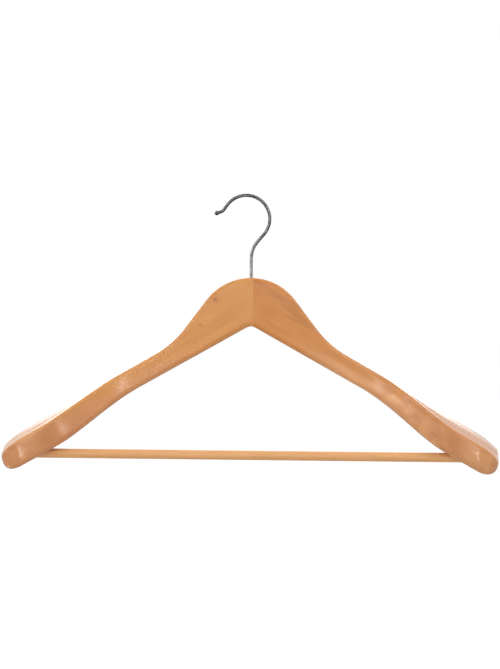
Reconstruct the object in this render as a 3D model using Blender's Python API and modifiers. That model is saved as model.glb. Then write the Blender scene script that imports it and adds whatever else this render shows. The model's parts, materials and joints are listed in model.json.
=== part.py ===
"""A contoured wooden jacket hanger with a swivelling wire hook and a round trouser bar.

The origin is the lowest point of the inside of the hook's crown, where it sits on a rail. +Z is up, +X runs
along the shoulders and -Y is the front, towards which the shoulders sweep. Sizes are in metres and angles in
degrees. The wooden pieces and the brads hang on an empty, which stands on the swivel axis at the height of the
top of the wood. In its frame u is the distance from the hanger's middle along either shoulder.
"""

import math

import bmesh
import bpy
from mathutils import Matrix, Vector

# Clearances
GAP = 0.0003
SHANK_CLEARANCE = 0.0004
WASHER_CLEARANCE = 0.0005

# Front outline of the wood
HALF_SPAN = 0.2225
CROWN_RADIUS = 0.051
FLANK_ANGLE = 53.0
FILLET_RADIUS = 0.093
SHOULDER_SLOPE = 29.8
SHOULDER_LINE_DEPTH = 0.0199
NECK_HEIGHT = 0.043
TIP_HEIGHT = 0.0208
APEX_RADIUS = 0.010

# Neck board and finger joint
BOARD_THICKNESS = 0.016
BOARD_EDGE_RADIUS = 0.005
FINGER_COUNT = 4
FINGER_REACH = 0.0027

# Flared shoulder ends, with lengths measured back from the full flare
TIP_TO_FULL_FLARE = 0.034
FRONT_REACH = 0.052
FRONT_LEAN = 0.0084
BACK_OFFSET = 0.005
TOP_FLARE_LENGTH = 0.070
LOW_FLARE_LENGTH = 0.087
BACK_SWEEP_LENGTH = 0.110
TOP_FRONT_DROP = 0.0104
LOW_FRONT_DROP = 0.0149
LOW_BACK_DROP = 0.005
LOW_DROP_LEAD = 0.017
TOP_CROWN = 0.0015
TOP_BACK_RADIUS = 0.006
TOP_FRONT_RADIUS = 0.0025
LOW_FRONT_RADIUS = 0.0065
LOW_BACK_RADIUS = 0.006

# Rounding of the tip
TIP_LENGTH = 0.0195
TIP_ROUND_FRONT = 0.0187
TIP_ROUND_BACK = 0.012
TIP_ROUND_TOP = 0.0056
TIP_ROUND_LOW = 0.0185
TIP_ROUND_LIMIT = 0.94

# Trouser bar, in a blind socket in each shoulder
BAR_DIAMETER = 0.0085
BAR_FORWARD = 0.027
BAR_COVER = 0.0054
SOCKET_TO_TIP = 0.0165

# Brads that pin the bar
BRAD_DIAMETER = 0.0014
BRAD_HEAD_DIAMETER = 0.0026
BRAD_HEAD_THICKNESS = 0.0006
BRAD_POINT = 0.0016
BRAD_INSET = 0.005
BRAD_RECESS = 0.001
BRAD_GRIP = 0.005

# Hook wire
WIRE_DIAMETER = 0.003
HOOK_RADIUS = 0.0215
SWIVEL_OFFSET = 0.0049
NECK_LEAN = 40.5
NECK_BEND = 0.0233
SHANK_ABOVE_WOOD = 0.018
MOUTH_ANGLE = 53.3
LIP_RUN = 0.0056
LIP_BEND = 0.006
LIP_TURN = 37.3
LIP_END = 0.0034
BALL_DIAMETER = 0.0042

# Nut and washer, in a pocket under the neck
NUT_WIDTH = 0.0055
NUT_THICKNESS = 0.0024
NUT_CHAMFER = 0.0005
WASHER_DIAMETER = 0.009
WASHER_THICKNESS = 0.0008
NUT_RECESS = 0.002
SHANK_PAST_NUT = 0.001

# Smoothness
CORNER_STEPS = 4
FACE_STEPS = 3
FLARE_STEPS = 12
TIP_STEPS = 6
LEAST_STEP = 0.0004
ARC_STEP = 7.0
WIRE_RESOLUTION = 3
ROUND_SIDES = 32
BRAD_SIDES = 16
SMOOTH_ANGLE = 35.0
WELD_DISTANCE = 0.000001

# Finishes: base colour, roughness and metallic value
WOOD = ((0.62, 0.29, 0.12), 0.38, 0.0)
BAR_WOOD = ((0.72, 0.40, 0.19), 0.42, 0.0)
STEEL = ((0.62, 0.62, 0.62), 0.22, 1.0)
ZINC = ((0.52, 0.53, 0.55), 0.35, 1.0)

SIDES = {"left": -1, "right": 1}


# Scene and mesh helpers


def clear_scene():
    """Removes the objects that are in the scene before the hanger is made."""
    for old in list(bpy.data.objects):
        bpy.data.objects.remove(old, do_unlink=True)


def new_collection(name):
    """A collection linked to the scene."""
    made = bpy.data.collections.new(name)
    bpy.context.scene.collection.children.link(made)
    return made


def new_material(name, finish):
    """A Principled material from a colour, a roughness and a metallic value."""
    colour, roughness, metallic = finish
    material = bpy.data.materials.new(name)
    material.use_nodes = True
    shader = material.node_tree.nodes["Principled BSDF"]
    shader.inputs["Base Color"].default_value = (*colour, 1.0)
    shader.inputs["Roughness"].default_value = roughness
    shader.inputs["Metallic"].default_value = metallic
    material.diffuse_color = (*colour, 1.0)
    return material


def new_part(name, bm, collection, material=None, parent=None, location=(0, 0, 0)):
    """A smooth-shaded object made of a bmesh, which this frees."""
    bmesh.ops.recalc_face_normals(bm, faces=bm.faces)
    mesh = bpy.data.meshes.new(name)
    bm.to_mesh(mesh)
    bm.free()
    mesh.shade_smooth()
    mesh.set_sharp_from_angle(angle=math.radians(SMOOTH_ANGLE))
    if material:
        mesh.materials.append(material)
    part = bpy.data.objects.new(name, mesh)
    collection.objects.link(part)
    part.parent = parent
    part.location = location
    return part


def new_cutter(name, bm, cutters, parent=None, location=(0, 0, 0)):
    """An object that only shapes others, so no render shows it."""
    cutter = new_part(name, bm, cutters, None, parent, location)
    cutter.hide_render = True
    cutter.display_type = "WIRE"
    return cutter


def combine(target, cutter, operation="DIFFERENCE"):
    """Cuts the target by the cutter, keeps only what they share, or joins them."""
    modifier = target.modifiers.new(cutter.name, "BOOLEAN")
    modifier.operation = operation
    modifier.solver = "EXACT"
    modifier.object = cutter


def rod(radius, low, high, sides=ROUND_SIDES):
    """A bmesh of an upright capped rod between two heights."""
    bm = bmesh.new()
    middle = Matrix.Translation((0, 0, (low + high) / 2))
    bmesh.ops.create_cone(
        bm, cap_ends=True, segments=sides, radius1=radius, radius2=radius, depth=high - low, matrix=middle
    )
    return bm


def add_block(bm, low, high):
    """Adds a box between two corners to a bmesh."""
    low, high = Vector(low), Vector(high)
    place = Matrix.Translation((low + high) / 2) @ Matrix.Diagonal((*(high - low), 1.0))
    bmesh.ops.create_cube(bm, size=1.0, matrix=place)


def ease(value, start, end):
    """0 before start, 1 after end and a smooth rise between them."""
    share = min(1.0, max(0.0, (value - start) / (end - start)))
    return share * share * (3 - 2 * share)


# Outline of the wood


def crown_end():
    """(u, drop) where the round crown meets the flank."""
    flank = math.radians(FLANK_ANGLE)
    return CROWN_RADIUS * math.sin(flank), CROWN_RADIUS * (1 - math.cos(flank))


def fillet_ends():
    """Where the fillet between flank and shoulder starts and ends."""
    flank, slope = math.radians(FLANK_ANGLE), math.radians(SHOULDER_SLOPE)
    end_u, end_drop = crown_end()
    meeting = (SHOULDER_LINE_DEPTH - end_drop + math.tan(flank) * end_u) / (math.tan(flank) - math.tan(slope))
    tangent = FILLET_RADIUS * math.tan((flank - slope) / 2)
    return meeting - tangent * math.cos(flank), meeting + tangent * math.cos(slope)


def top_height(u):
    """Height of the top outline, 0 at the crown: crown, flank, fillet and straight shoulder."""
    u = abs(u)
    flank, slope = math.radians(FLANK_ANGLE), math.radians(SHOULDER_SLOPE)
    end_u, end_drop = crown_end()
    fillet_start, fillet_end = fillet_ends()
    if u <= end_u:
        return math.sqrt(CROWN_RADIUS**2 - u**2) - CROWN_RADIUS
    if u <= fillet_start:
        return -end_drop - math.tan(flank) * (u - end_u)
    if u >= fillet_end:
        return -SHOULDER_LINE_DEPTH - math.tan(slope) * u
    centre_u = fillet_start + FILLET_RADIUS * math.sin(flank)
    centre_z = FILLET_RADIUS * math.cos(flank) - end_drop - math.tan(flank) * (fillet_start - end_u)
    return centre_z - math.sqrt(FILLET_RADIUS**2 - (u - centre_u) ** 2)


def under_slope():
    """Angle of the straight underside, from the neck's height in the middle to the arm's at the tip."""
    fall = TIP_HEIGHT - top_height(HALF_SPAN) - NECK_HEIGHT
    return math.atan(fall / HALF_SPAN)


def apex_half_width():
    """Distance from the middle to which the underside is rounded."""
    return APEX_RADIUS * math.sin(under_slope())


def under_height(u):
    """Height of the underside, rounded in the middle and carried on in a straight slope to the tip."""
    slope = under_slope()
    if abs(u) > apex_half_width():
        return -NECK_HEIGHT - math.tan(slope) * abs(u)
    return math.sqrt(APEX_RADIUS**2 - u**2) - APEX_RADIUS / math.cos(slope) - NECK_HEIGHT


# Sections of a shoulder


def full_flare():
    """Distance from the middle at which a shoulder reaches its full depth."""
    return HALF_SPAN - TIP_TO_FULL_FLARE


def section_corners(u):
    """(y, z) of a section's corners: top back, top front, low front and low back."""
    full, half = full_flare(), BOARD_THICKNESS / 2
    top_flare = ease(u, full - TOP_FLARE_LENGTH, full)
    low_flare = ease(u, full - LOW_FLARE_LENGTH, full)
    low_drop = ease(u, full - LOW_FLARE_LENGTH, full - LOW_DROP_LEAD)
    back_y = half - (BACK_OFFSET + half) * ease(u, full - BACK_SWEEP_LENGTH, full)
    top_front_y = -half - (FRONT_REACH - half) * top_flare
    low_front_y = -half - (FRONT_REACH - FRONT_LEAN - half) * low_flare
    top, under = top_height(u), under_height(u)
    return [
        Vector((back_y, top)),
        Vector((top_front_y, top - TOP_FRONT_DROP * top_flare)),
        Vector((low_front_y, under - LOW_FRONT_DROP * low_drop)),
        Vector((back_y, under - LOW_BACK_DROP * low_drop)),
    ]


def drawn_in(u, corners):
    """A section's corners, drawn in towards each other where it lies in the rounded tip."""
    into = (u - HALF_SPAN + TIP_LENGTH) / TIP_LENGTH
    if into <= 0:
        return corners
    top_back, top_front, low_front, low_back = corners
    share = 1 - math.sqrt(max(0.0, 1 - into * into))
    depth, height = top_back.x - low_front.x, top_front.y - low_front.y
    across = share * min(1.0, TIP_ROUND_LIMIT * depth / (TIP_ROUND_FRONT + TIP_ROUND_BACK))
    down = share * min(1.0, TIP_ROUND_LIMIT * height / (TIP_ROUND_TOP + TIP_ROUND_LOW))
    front, back = TIP_ROUND_FRONT * across, -TIP_ROUND_BACK * across
    top, low = -TIP_ROUND_TOP * down, TIP_ROUND_LOW * down
    return [
        top_back + Vector((back, top)),
        top_front + Vector((front, top)),
        low_front + Vector((front, low)),
        low_back + Vector((back, low)),
    ]


def corner_radii(u):
    """The radius of each corner, from the board's in the middle to the shoulder's own at full flare."""
    flared = ease(u, full_flare() - LOW_FLARE_LENGTH, full_flare())
    own = (TOP_BACK_RADIUS, TOP_FRONT_RADIUS, LOW_FRONT_RADIUS, LOW_BACK_RADIUS)
    return [BOARD_EDGE_RADIUS + (radius - BOARD_EDGE_RADIUS) * flared for radius in own]


def corner_arc(before, corner, after, radius):
    """Points of the arc that rounds a corner, as far as its two edges leave room."""
    back, on = (before - corner).normalized(), (after - corner).normalized()
    half_angle = back.angle(on) / 2
    room = 0.45 * min((before - corner).length, (after - corner).length)
    tangent = min(radius / math.tan(half_angle), room)
    centre = corner + (back + on).normalized() * tangent / math.cos(half_angle)
    first, last = corner + back * tangent - centre, corner + on * tangent - centre
    sweep = -first.angle_signed(last)
    return [centre + Matrix.Rotation(sweep * step / CORNER_STEPS, 2) @ first for step in range(CORNER_STEPS + 1)]


def section(u):
    """The closed outline of a section as (y, z) points, with its top crowned where the shoulder is flared."""
    corners = drawn_in(u, section_corners(u))
    radii = corner_radii(u)
    arcs = [corner_arc(corners[i - 1], corners[i], corners[(i + 1) % 4], radii[i]) for i in range(4)]
    crown = TOP_CROWN * ease(u, full_flare() - TOP_FLARE_LENGTH, full_flare())
    points = []
    for i, arc in enumerate(arcs):
        points += arc
        start, end = arc[-1], arcs[(i + 1) % 4][0]
        for step in range(1, FACE_STEPS + 1):
            share = step / (FACE_STEPS + 1)
            rise = crown * (1 - math.cos(math.tau * share)) / 2 if i == 0 else 0.0
            points.append(start.lerp(end, share) + Vector((0, rise)))
    return points


def stations():
    """Distances from the middle at which a shoulder's sections lie, closest where its shape turns."""
    full = full_flare()
    fillet_start, fillet_end = fillet_ends()
    spans = [
        (GAP / 2 - FINGER_REACH, 0.0, 1),
        (0.0, apex_half_width(), 3),
        (apex_half_width(), crown_end()[0], 6),
        (crown_end()[0], fillet_start, 1),
        (fillet_start, fillet_end, 4),
        (fillet_end, full - LOW_FLARE_LENGTH, 1),
        (full - LOW_FLARE_LENGTH, full, FLARE_STEPS),
        (full, HALF_SPAN - TIP_LENGTH, 2),
    ]
    found = [start + (end - start) * step / count for start, end, count in spans for step in range(count)]
    found += [HALF_SPAN - TIP_LENGTH * (1 - math.sin(math.pi / 2 * step / TIP_STEPS)) for step in range(TIP_STEPS)]
    kept = []
    for u in sorted(found):
        if HALF_SPAN - u > LEAST_STEP and (not kept or u - kept[-1] > LEAST_STEP):
            kept.append(u)
    return kept + [HALF_SPAN]


def shoulder_body(side):
    """A bmesh lofted through the sections of one shoulder, closed at both ends."""
    bm = bmesh.new()
    rings = [[bm.verts.new((side * u, y, z)) for y, z in section(u)] for u in stations()]
    for ring, after in zip(rings, rings[1:]):
        for i in range(len(ring)):
            j = (i + 1) % len(ring)
            bm.faces.new((ring[i], ring[j], after[j], after[i]))
    bm.faces.new(rings[0])
    bm.faces.new(rings[-1])
    return bm


# Places that pieces share


def bar_end():
    """Distance from the middle to an end of the trouser bar."""
    return HALF_SPAN - SOCKET_TO_TIP


def under_bar(u):
    """Height of a shoulder's underside in the upright plane through the bar."""
    low_front, low_back = section_corners(u)[2:]
    share = (low_back.x + BAR_FORWARD) / (low_back.x - low_front.x)
    return low_back.lerp(low_front, share).y


def bar_height():
    """Height of the bar's axis, which leaves BAR_COVER of wood under the bar's ends."""
    return under_bar(bar_end()) + BAR_COVER + BAR_DIAMETER / 2


def brad_seat():
    """(u, height) of the seat of a brad's head, sunk in the underside."""
    u = bar_end() - BRAD_INSET
    return u, under_bar(u) + BRAD_RECESS + BRAD_HEAD_THICKNESS


def brad_length():
    """Length of a brad's shank, through the bar and into the wood above it."""
    return bar_height() + BAR_DIAMETER / 2 + BRAD_GRIP - brad_seat()[1]


def washer_seat():
    """Height of the seat in the neck on which the washer bears."""
    stack = WASHER_THICKNESS + NUT_THICKNESS + 2 * GAP
    return under_height(0.0) + NUT_RECESS + SHANK_PAST_NUT + stack


def heading(degrees):
    """The direction in the hook's plane at an angle above +X."""
    return Vector((math.cos(math.radians(degrees)), 0, math.sin(math.radians(degrees))))


def neck_line():
    """(start, run, tangent): the hook's straight neck, its length to the swivel axis and its bend's share."""
    start = Vector((0, 0, WIRE_DIAMETER / 2 - HOOK_RADIUS)) + HOOK_RADIUS * heading(-NECK_LEAN)
    run = (start.x - SWIVEL_OFFSET) / math.sin(math.radians(NECK_LEAN))
    tangent = min(0.9 * run, NECK_BEND * math.tan(math.radians(NECK_LEAN / 2)))
    return start, run, tangent


def wood_top():
    """Height of the top of the wood, a stretch of straight shank below the hook's neck."""
    start, run, tangent = neck_line()
    return start.z - run * math.cos(math.radians(NECK_LEAN)) - tangent - SHANK_ABOVE_WOOD


# Cutters


def finger_slots(label, side, cutters, parent):
    """The spaces in one shoulder's middle for the fingers of the other."""
    bm = bmesh.new()
    band = BOARD_THICKNESS / FINGER_COUNT
    inner, outer = sorted((-side * 2 * FINGER_REACH, side * (FINGER_REACH + GAP / 2)))
    for finger in range(1 if side < 0 else 0, FINGER_COUNT, 2):
        front = finger * band - BOARD_THICKNESS / 2 - GAP / 2
        back = front + band + GAP
        if finger == 0:
            front -= BOARD_THICKNESS
        if finger == FINGER_COUNT - 1:
            back += BOARD_THICKNESS
        add_block(bm, (inner, front, -2 * NECK_HEIGHT), (outer, back, NECK_HEIGHT))
    return new_cutter("finger_slots_" + label, bm, cutters, parent)


def neck_holes(cutters, parent):
    """The bore for the hook's shank, and the pocket below it for the washer and the nut."""
    bore = rod(WIRE_DIAMETER / 2 + SHANK_CLEARANCE, -2 * NECK_HEIGHT, NECK_HEIGHT)
    pocket = rod(WASHER_DIAMETER / 2 + WASHER_CLEARANCE, -2 * NECK_HEIGHT, washer_seat())
    return [new_cutter("shank_bore", bore, cutters, parent), new_cutter("nut_pocket", pocket, cutters, parent)]


def bar_socket(label, side, cutters, parent):
    """The blind hole for one end of the trouser bar."""
    middle, end = sorted((0.0, side * (bar_end() + GAP)))
    bm = rod(BAR_DIAMETER / 2 + GAP, middle, end)
    socket = new_cutter("bar_socket_" + label, bm, cutters, parent, (0, -BAR_FORWARD, bar_height()))
    socket.rotation_euler.y = math.radians(90)
    return socket


def brad_holes(label, side, cutters, parent):
    """The hole for a brad's shank and the recess for its head."""
    u, seat = brad_seat()
    place = (side * u, -BAR_FORWARD, seat)
    low = -BAR_COVER - BRAD_HEAD_THICKNESS
    hole = rod(BRAD_DIAMETER / 2 + GAP, low, brad_length() + GAP, BRAD_SIDES)
    recess = rod(BRAD_HEAD_DIAMETER / 2 + GAP, low, GAP, BRAD_SIDES)
    return [
        new_cutter("brad_hole_" + label, hole, cutters, parent, place),
        new_cutter("brad_recess_" + label, recess, cutters, parent, place),
    ]


# Wooden pieces and brads


def build_shoulder(label, side, parts, parent, material, holes):
    """One shoulder, lofted and then cut for its fingers, hook, bar and brad."""
    shoulder = new_part(label + "_shoulder", shoulder_body(side), parts, material, parent)
    for hole in holes:
        combine(shoulder, hole)
    return shoulder


def build_trouser_bar(parts, parent, material, holes):
    """The round bar between the shoulders, drilled for its brads."""
    bm = rod(BAR_DIAMETER / 2, -bar_end(), bar_end())
    bar = new_part("trouser_bar", bm, parts, material, parent, (0, -BAR_FORWARD, bar_height()))
    bar.rotation_euler.y = math.radians(90)
    for hole in holes:
        combine(bar, hole)
    return bar


def build_brad(label, side, parts, parent, material):
    """A brad driven up through a shoulder's underside and the bar, turned from half its outline."""
    shank, head, length = BRAD_DIAMETER / 2, BRAD_HEAD_DIAMETER / 2, brad_length()
    outline = [
        (0.0, length),
        (shank, length - BRAD_POINT),
        (shank, 0.0),
        (head, 0.0),
        (head, -BRAD_HEAD_THICKNESS),
        (0.0, -BRAD_HEAD_THICKNESS),
    ]
    bm = bmesh.new()
    points = [bm.verts.new((radius, 0, height)) for radius, height in outline]
    for pair in zip(points, points[1:]):
        bm.edges.new(pair)
    u, seat = brad_seat()
    brad = new_part("bar_nail_" + label, bm, parts, material, parent, (side * u, -BAR_FORWARD, seat))
    turned = brad.modifiers.new("turned", "SCREW")
    turned.steps = BRAD_SIDES
    turned.render_steps = BRAD_SIDES
    turned.use_merge_vertices = True
    turned.merge_threshold = WELD_DISTANCE
    return brad


# Hook


def arc_points(centre, radius, start, end):
    """Points of an arc in the hook's plane between two angles above +X, without its first."""
    count = max(2, math.ceil(abs(end - start) / ARC_STEP))
    return [centre + radius * heading(start + (end - start) * step / count) for step in range(1, count + 1)]


def hook_path():
    """The wire's centreline, from the middle of the ball to the foot of the shank."""
    centre = Vector((0, 0, WIRE_DIAMETER / 2 - HOOK_RADIUS))
    mouth = 90 + MOUTH_ANGLE
    crown = [centre + HOOK_RADIUS * heading(mouth)] + arc_points(centre, HOOK_RADIUS, mouth, -NECK_LEAN)
    lip_start = crown[0] + LIP_RUN * heading(90 + mouth)
    lip_centre = lip_start + LIP_BEND * heading(mouth)
    lip = [lip_start] + arc_points(lip_centre, LIP_BEND, mouth - 180, mouth - 180 - LIP_TURN)
    ball = lip[-1] + LIP_END * heading(90 + mouth - LIP_TURN)
    start, run, tangent = neck_line()
    bend_start = start + (run - tangent) * heading(270 - NECK_LEAN)
    bend_radius = tangent / math.tan(math.radians(NECK_LEAN / 2))
    bend_centre = bend_start + bend_radius * heading(-NECK_LEAN)
    bend = [bend_start] + arc_points(bend_centre, bend_radius, 180 - NECK_LEAN, 180)
    foot_z = wood_top() + under_height(0.0) + NUT_RECESS
    return [ball] + lip[::-1] + crown + bend + [Vector((SWIVEL_OFFSET, 0, foot_z))]


def wire_body(path, parts):
    """A bmesh of round wire along a path, with welded caps."""
    curve = bpy.data.curves.new("hook_wire", "CURVE")
    curve.dimensions = "3D"
    curve.bevel_depth = WIRE_DIAMETER / 2
    curve.bevel_resolution = WIRE_RESOLUTION
    curve.use_fill_caps = True
    spline = curve.splines.new("POLY")
    spline.points.add(len(path) - 1)
    for point, place in zip(spline.points, path):
        point.co = (*place, 1.0)
    wire = bpy.data.objects.new("hook_wire", curve)
    parts.objects.link(wire)
    depsgraph = bpy.context.evaluated_depsgraph_get()
    mesh = bpy.data.meshes.new_from_object(wire.evaluated_get(depsgraph))
    bm = bmesh.new()
    bm.from_mesh(mesh)
    bm.transform(wire.matrix_world)
    bmesh.ops.remove_doubles(bm, verts=bm.verts, dist=WELD_DISTANCE)
    bpy.data.objects.remove(wire, do_unlink=True)
    bpy.data.meshes.remove(mesh)
    return bm


def build_hook(parts, cutters, material):
    """The hook: a bent wire with a ball formed on its tip."""
    path = hook_path()
    hook = new_part("hook", wire_body(path, parts), parts, material)
    bm = bmesh.new()
    bmesh.ops.create_uvsphere(bm, u_segments=20, v_segments=12, radius=BALL_DIAMETER / 2)
    combine(hook, new_cutter("hook_ball", bm, cutters, hook, path[0]), "UNION")
    return hook


def build_washer(parts, cutters, hook, material):
    """The washer that carries the neck on the nut."""
    top = (SWIVEL_OFFSET, 0, wood_top() + washer_seat() - GAP)
    bm = rod(WASHER_DIAMETER / 2, -WASHER_THICKNESS, 0.0)
    washer = new_part("hook_washer", bm, parts, material, hook, top)
    hole = rod(WIRE_DIAMETER / 2 + GAP, -2 * WASHER_THICKNESS, WASHER_THICKNESS)
    combine(washer, new_cutter("washer_hole", hole, cutters, hook, top))
    return washer


def build_nut(parts, cutters, hook, material):
    """The hexagonal nut on the foot of the shank, with its corners chamfered."""
    top = (SWIVEL_OFFSET, 0, wood_top() + washer_seat() - WASHER_THICKNESS - 2 * GAP)
    corner_radius = NUT_WIDTH / 2 / math.cos(math.radians(30))
    bm = rod(corner_radius, -NUT_THICKNESS, 0.0, 6)
    nut = new_part("hook_nut", bm, parts, material, hook, top)
    turned = rod(corner_radius + GAP, -NUT_THICKNESS, 0.0)
    rims = [edge for edge in turned.edges if abs(edge.verts[0].co.z - edge.verts[1].co.z) < WELD_DISTANCE]
    offset = NUT_CHAMFER + GAP
    bmesh.ops.bevel(turned, geom=rims, offset=offset, affect="EDGES", segments=1, profile=0.5, material=-1)
    combine(nut, new_cutter("nut_chamfer", turned, cutters, hook, top), "INTERSECT")
    hole = rod(WIRE_DIAMETER / 2 + GAP, -2 * NUT_THICKNESS, NUT_THICKNESS)
    combine(nut, new_cutter("nut_hole", hole, cutters, hook, top))
    return nut


def main():
    """Builds the hanger."""
    clear_scene()
    parts, cutters = new_collection("jacket_hanger"), new_collection("cutters")
    wood, bar_wood = new_material("shoulder_wood", WOOD), new_material("bar_wood", BAR_WOOD)
    steel, zinc = new_material("hook_steel", STEEL), new_material("zinc_plate", ZINC)

    swivel_axis = bpy.data.objects.new("swivel_axis", None)
    swivel_axis.location = (SWIVEL_OFFSET, 0, wood_top())
    parts.objects.link(swivel_axis)

    neck = neck_holes(cutters, swivel_axis)
    bar_holes = []
    for label, side in SIDES.items():
        brad = brad_holes(label, side, cutters, swivel_axis)
        fingers = finger_slots(label, side, cutters, swivel_axis)
        socket = bar_socket(label, side, cutters, swivel_axis)
        build_shoulder(label, side, parts, swivel_axis, wood, [fingers, *neck, socket, *brad])
        build_brad(label, side, parts, swivel_axis, zinc)
        bar_holes.append(brad[0])
    build_trouser_bar(parts, swivel_axis, bar_wood, bar_holes)

    hook = build_hook(parts, cutters, steel)
    build_washer(parts, cutters, hook, zinc)
    build_nut(parts, cutters, hook, zinc)


main()
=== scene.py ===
"""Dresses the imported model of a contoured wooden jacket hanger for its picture.

The row frame is in metres: +Z is up, +X runs along the shoulders and -Y is the front. The wood, the bar and
the brads are shaped about the swivel axis at the height of the top of the wood, where u is the distance from
the hanger's middle along either shoulder, and are then moved to the joint's place.
"""

import json
import logging
import math
from collections.abc import Callable, Iterable, Sequence
from dataclasses import dataclass, field
from enum import Enum

import bmesh
import bpy
from mathutils import Matrix, Vector
from mathutils.bvhtree import BVHTree

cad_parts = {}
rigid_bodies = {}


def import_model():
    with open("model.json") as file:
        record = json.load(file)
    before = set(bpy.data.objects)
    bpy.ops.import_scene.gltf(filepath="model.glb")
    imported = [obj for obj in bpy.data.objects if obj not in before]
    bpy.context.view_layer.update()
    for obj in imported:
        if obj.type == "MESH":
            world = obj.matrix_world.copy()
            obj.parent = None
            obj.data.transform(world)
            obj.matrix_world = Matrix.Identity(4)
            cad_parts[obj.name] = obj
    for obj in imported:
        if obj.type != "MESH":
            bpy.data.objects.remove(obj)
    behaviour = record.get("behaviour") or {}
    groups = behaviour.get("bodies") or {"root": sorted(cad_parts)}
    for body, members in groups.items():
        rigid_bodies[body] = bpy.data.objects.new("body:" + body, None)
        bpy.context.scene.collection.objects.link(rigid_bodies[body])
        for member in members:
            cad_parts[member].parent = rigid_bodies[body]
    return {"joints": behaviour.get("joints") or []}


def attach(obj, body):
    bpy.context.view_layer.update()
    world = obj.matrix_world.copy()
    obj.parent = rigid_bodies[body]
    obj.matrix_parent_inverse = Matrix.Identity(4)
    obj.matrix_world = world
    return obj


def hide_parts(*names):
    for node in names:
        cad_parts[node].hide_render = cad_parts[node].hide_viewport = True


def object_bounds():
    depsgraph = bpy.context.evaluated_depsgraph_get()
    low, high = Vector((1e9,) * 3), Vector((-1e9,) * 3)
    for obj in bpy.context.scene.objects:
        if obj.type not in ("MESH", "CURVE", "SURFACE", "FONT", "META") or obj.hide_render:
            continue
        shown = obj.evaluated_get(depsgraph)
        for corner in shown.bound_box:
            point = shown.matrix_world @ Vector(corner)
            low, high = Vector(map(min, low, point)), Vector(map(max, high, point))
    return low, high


for stray in list(bpy.data.objects):
    bpy.data.objects.remove(stray, do_unlink=True)
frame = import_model()
CAD_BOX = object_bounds()

LOG = logging.getLogger("jacket_hanger")
PICTURE_WIDTH, PICTURE_HEIGHT = 500, 669
SKIN_PLACE = "skin_place"
WELD = 1e-6
SHARP_ANGLE = 35.0
# The share of an edge that the round of one of its corners may take
CORNER_ROOM = 0.45
# Where the middle point of an eased edge lies, as a share of its reach
EASED_MIDDLE = 0.3
UP = Vector((0.0, 0.0, 1.0))

Colour = tuple[float, float, float]
Stretch = tuple[float, float, float]
Outline = Sequence[tuple[float, float]]
Ring = list[bmesh.types.BMVert]
Socket = bpy.types.NodeSocket


class Body(Enum):
    """The two bodies of the frame that pieces ride on."""

    HOOK = "hook_body"
    HANGER = "hanger_body"


class Slot(Enum):
    """The record's material slots."""

    SHOULDER = "shoulder_wood"
    BAR = "bar_wood"
    HOOK = "hook_steel"
    ZINC = "zinc_plate"


class Side(Enum):
    """The two shoulders, with the sign of their X."""

    LEFT = -1
    RIGHT = 1

    @property
    def word(self) -> str:
        """The side's name in lower case."""
        return self.name.lower()


def ease(value: float, start: float, end: float) -> float:
    """Rises smoothly between two values.

    Args:
        value: Where the rise is read.
        start: The value up to which it is 0.
        end: The value from which it is 1.

    Returns:
        The share of the rise at the value.
    """
    share = min(1.0, max(0.0, (value - start) / (end - start)))
    return share * share * (3 - 2 * share)


def from_swivel(x: float = 0.0, y: float = 0.0, z: float = 0.0) -> Vector:
    """The point at an offset from the swivel joint's place, in the row frame."""
    return Vector(frame["joints"][0]["pos_m"]) + Vector((x, y, z))


def upright_heading(degrees: float) -> Vector:
    """The direction in the hook's plane at an angle above +X."""
    return Vector((math.cos(math.radians(degrees)), 0.0, math.sin(math.radians(degrees))))


def level_heading(degrees: float) -> Vector:
    """The level direction at an angle from +X."""
    return Vector((math.cos(math.radians(degrees)), math.sin(math.radians(degrees)), 0.0))


# Meshes


class Skin:
    """A skin that is drawn out ring by ring from one circle, and then closed."""

    def __init__(self, sides: int, layer: str = "") -> None:
        """Starts with one open circle.

        Args:
            sides: The number of vertices in every ring.
            layer: The name of a vector kept on each vertex, if there is one.
        """
        self.mesh = bmesh.new()
        self.layer = self.mesh.verts.layers.float_vector.new(layer) if layer else None
        made = bmesh.ops.create_circle(self.mesh, cap_ends=False, radius=1.0, segments=sides)
        self.ring: Ring = list(made["verts"])
        self.first: Ring = self.ring

    def ring_edges(self, ring: Ring) -> list[bmesh.types.BMEdge]:
        """Finds the edges round a ring.

        Args:
            ring: The ring's vertices in order.

        Returns:
            One edge for each vertex, to the one before it.
        """
        return [self.mesh.edges.get((ring[i - 1], ring[i])) for i in range(len(ring))]

    def place(self, points: Iterable[Vector]) -> None:
        """Moves the current ring onto points.

        Args:
            points: One point for each vertex, in order.
        """
        for vert, point in zip(self.ring, points):
            vert.co = point

    def draw_out(self) -> None:
        """Extrudes the current ring, and keeps the new ring in the same order."""
        made = bmesh.ops.extrude_edge_only(self.mesh, edges=self.ring_edges(self.ring))
        fresh = {item for item in made["geom"] if isinstance(item, bmesh.types.BMVert)}
        drawn = []
        for vert in self.ring:
            others = (edge.other_vert(vert) for edge in vert.link_edges)
            drawn.append(next(other for other in others if other in fresh))
        self.ring = drawn

    def draw_to(self, points: Iterable[Vector]) -> None:
        """Extrudes the current ring onto points.

        Args:
            points: One point for each vertex, in order.
        """
        self.draw_out()
        self.place(points)

    def cap(self, ring: Ring) -> None:
        """Closes a ring with one face.

        Args:
            ring: The ring's vertices in order.
        """
        bmesh.ops.contextual_create(self.mesh, geom=self.ring_edges(ring))

    def close_on_itself(self) -> None:
        """Bridges the last ring to the first, as round a washer."""
        edges = self.ring_edges(self.ring) + self.ring_edges(self.first)
        bmesh.ops.bridge_loops(self.mesh, edges=edges)


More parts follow.
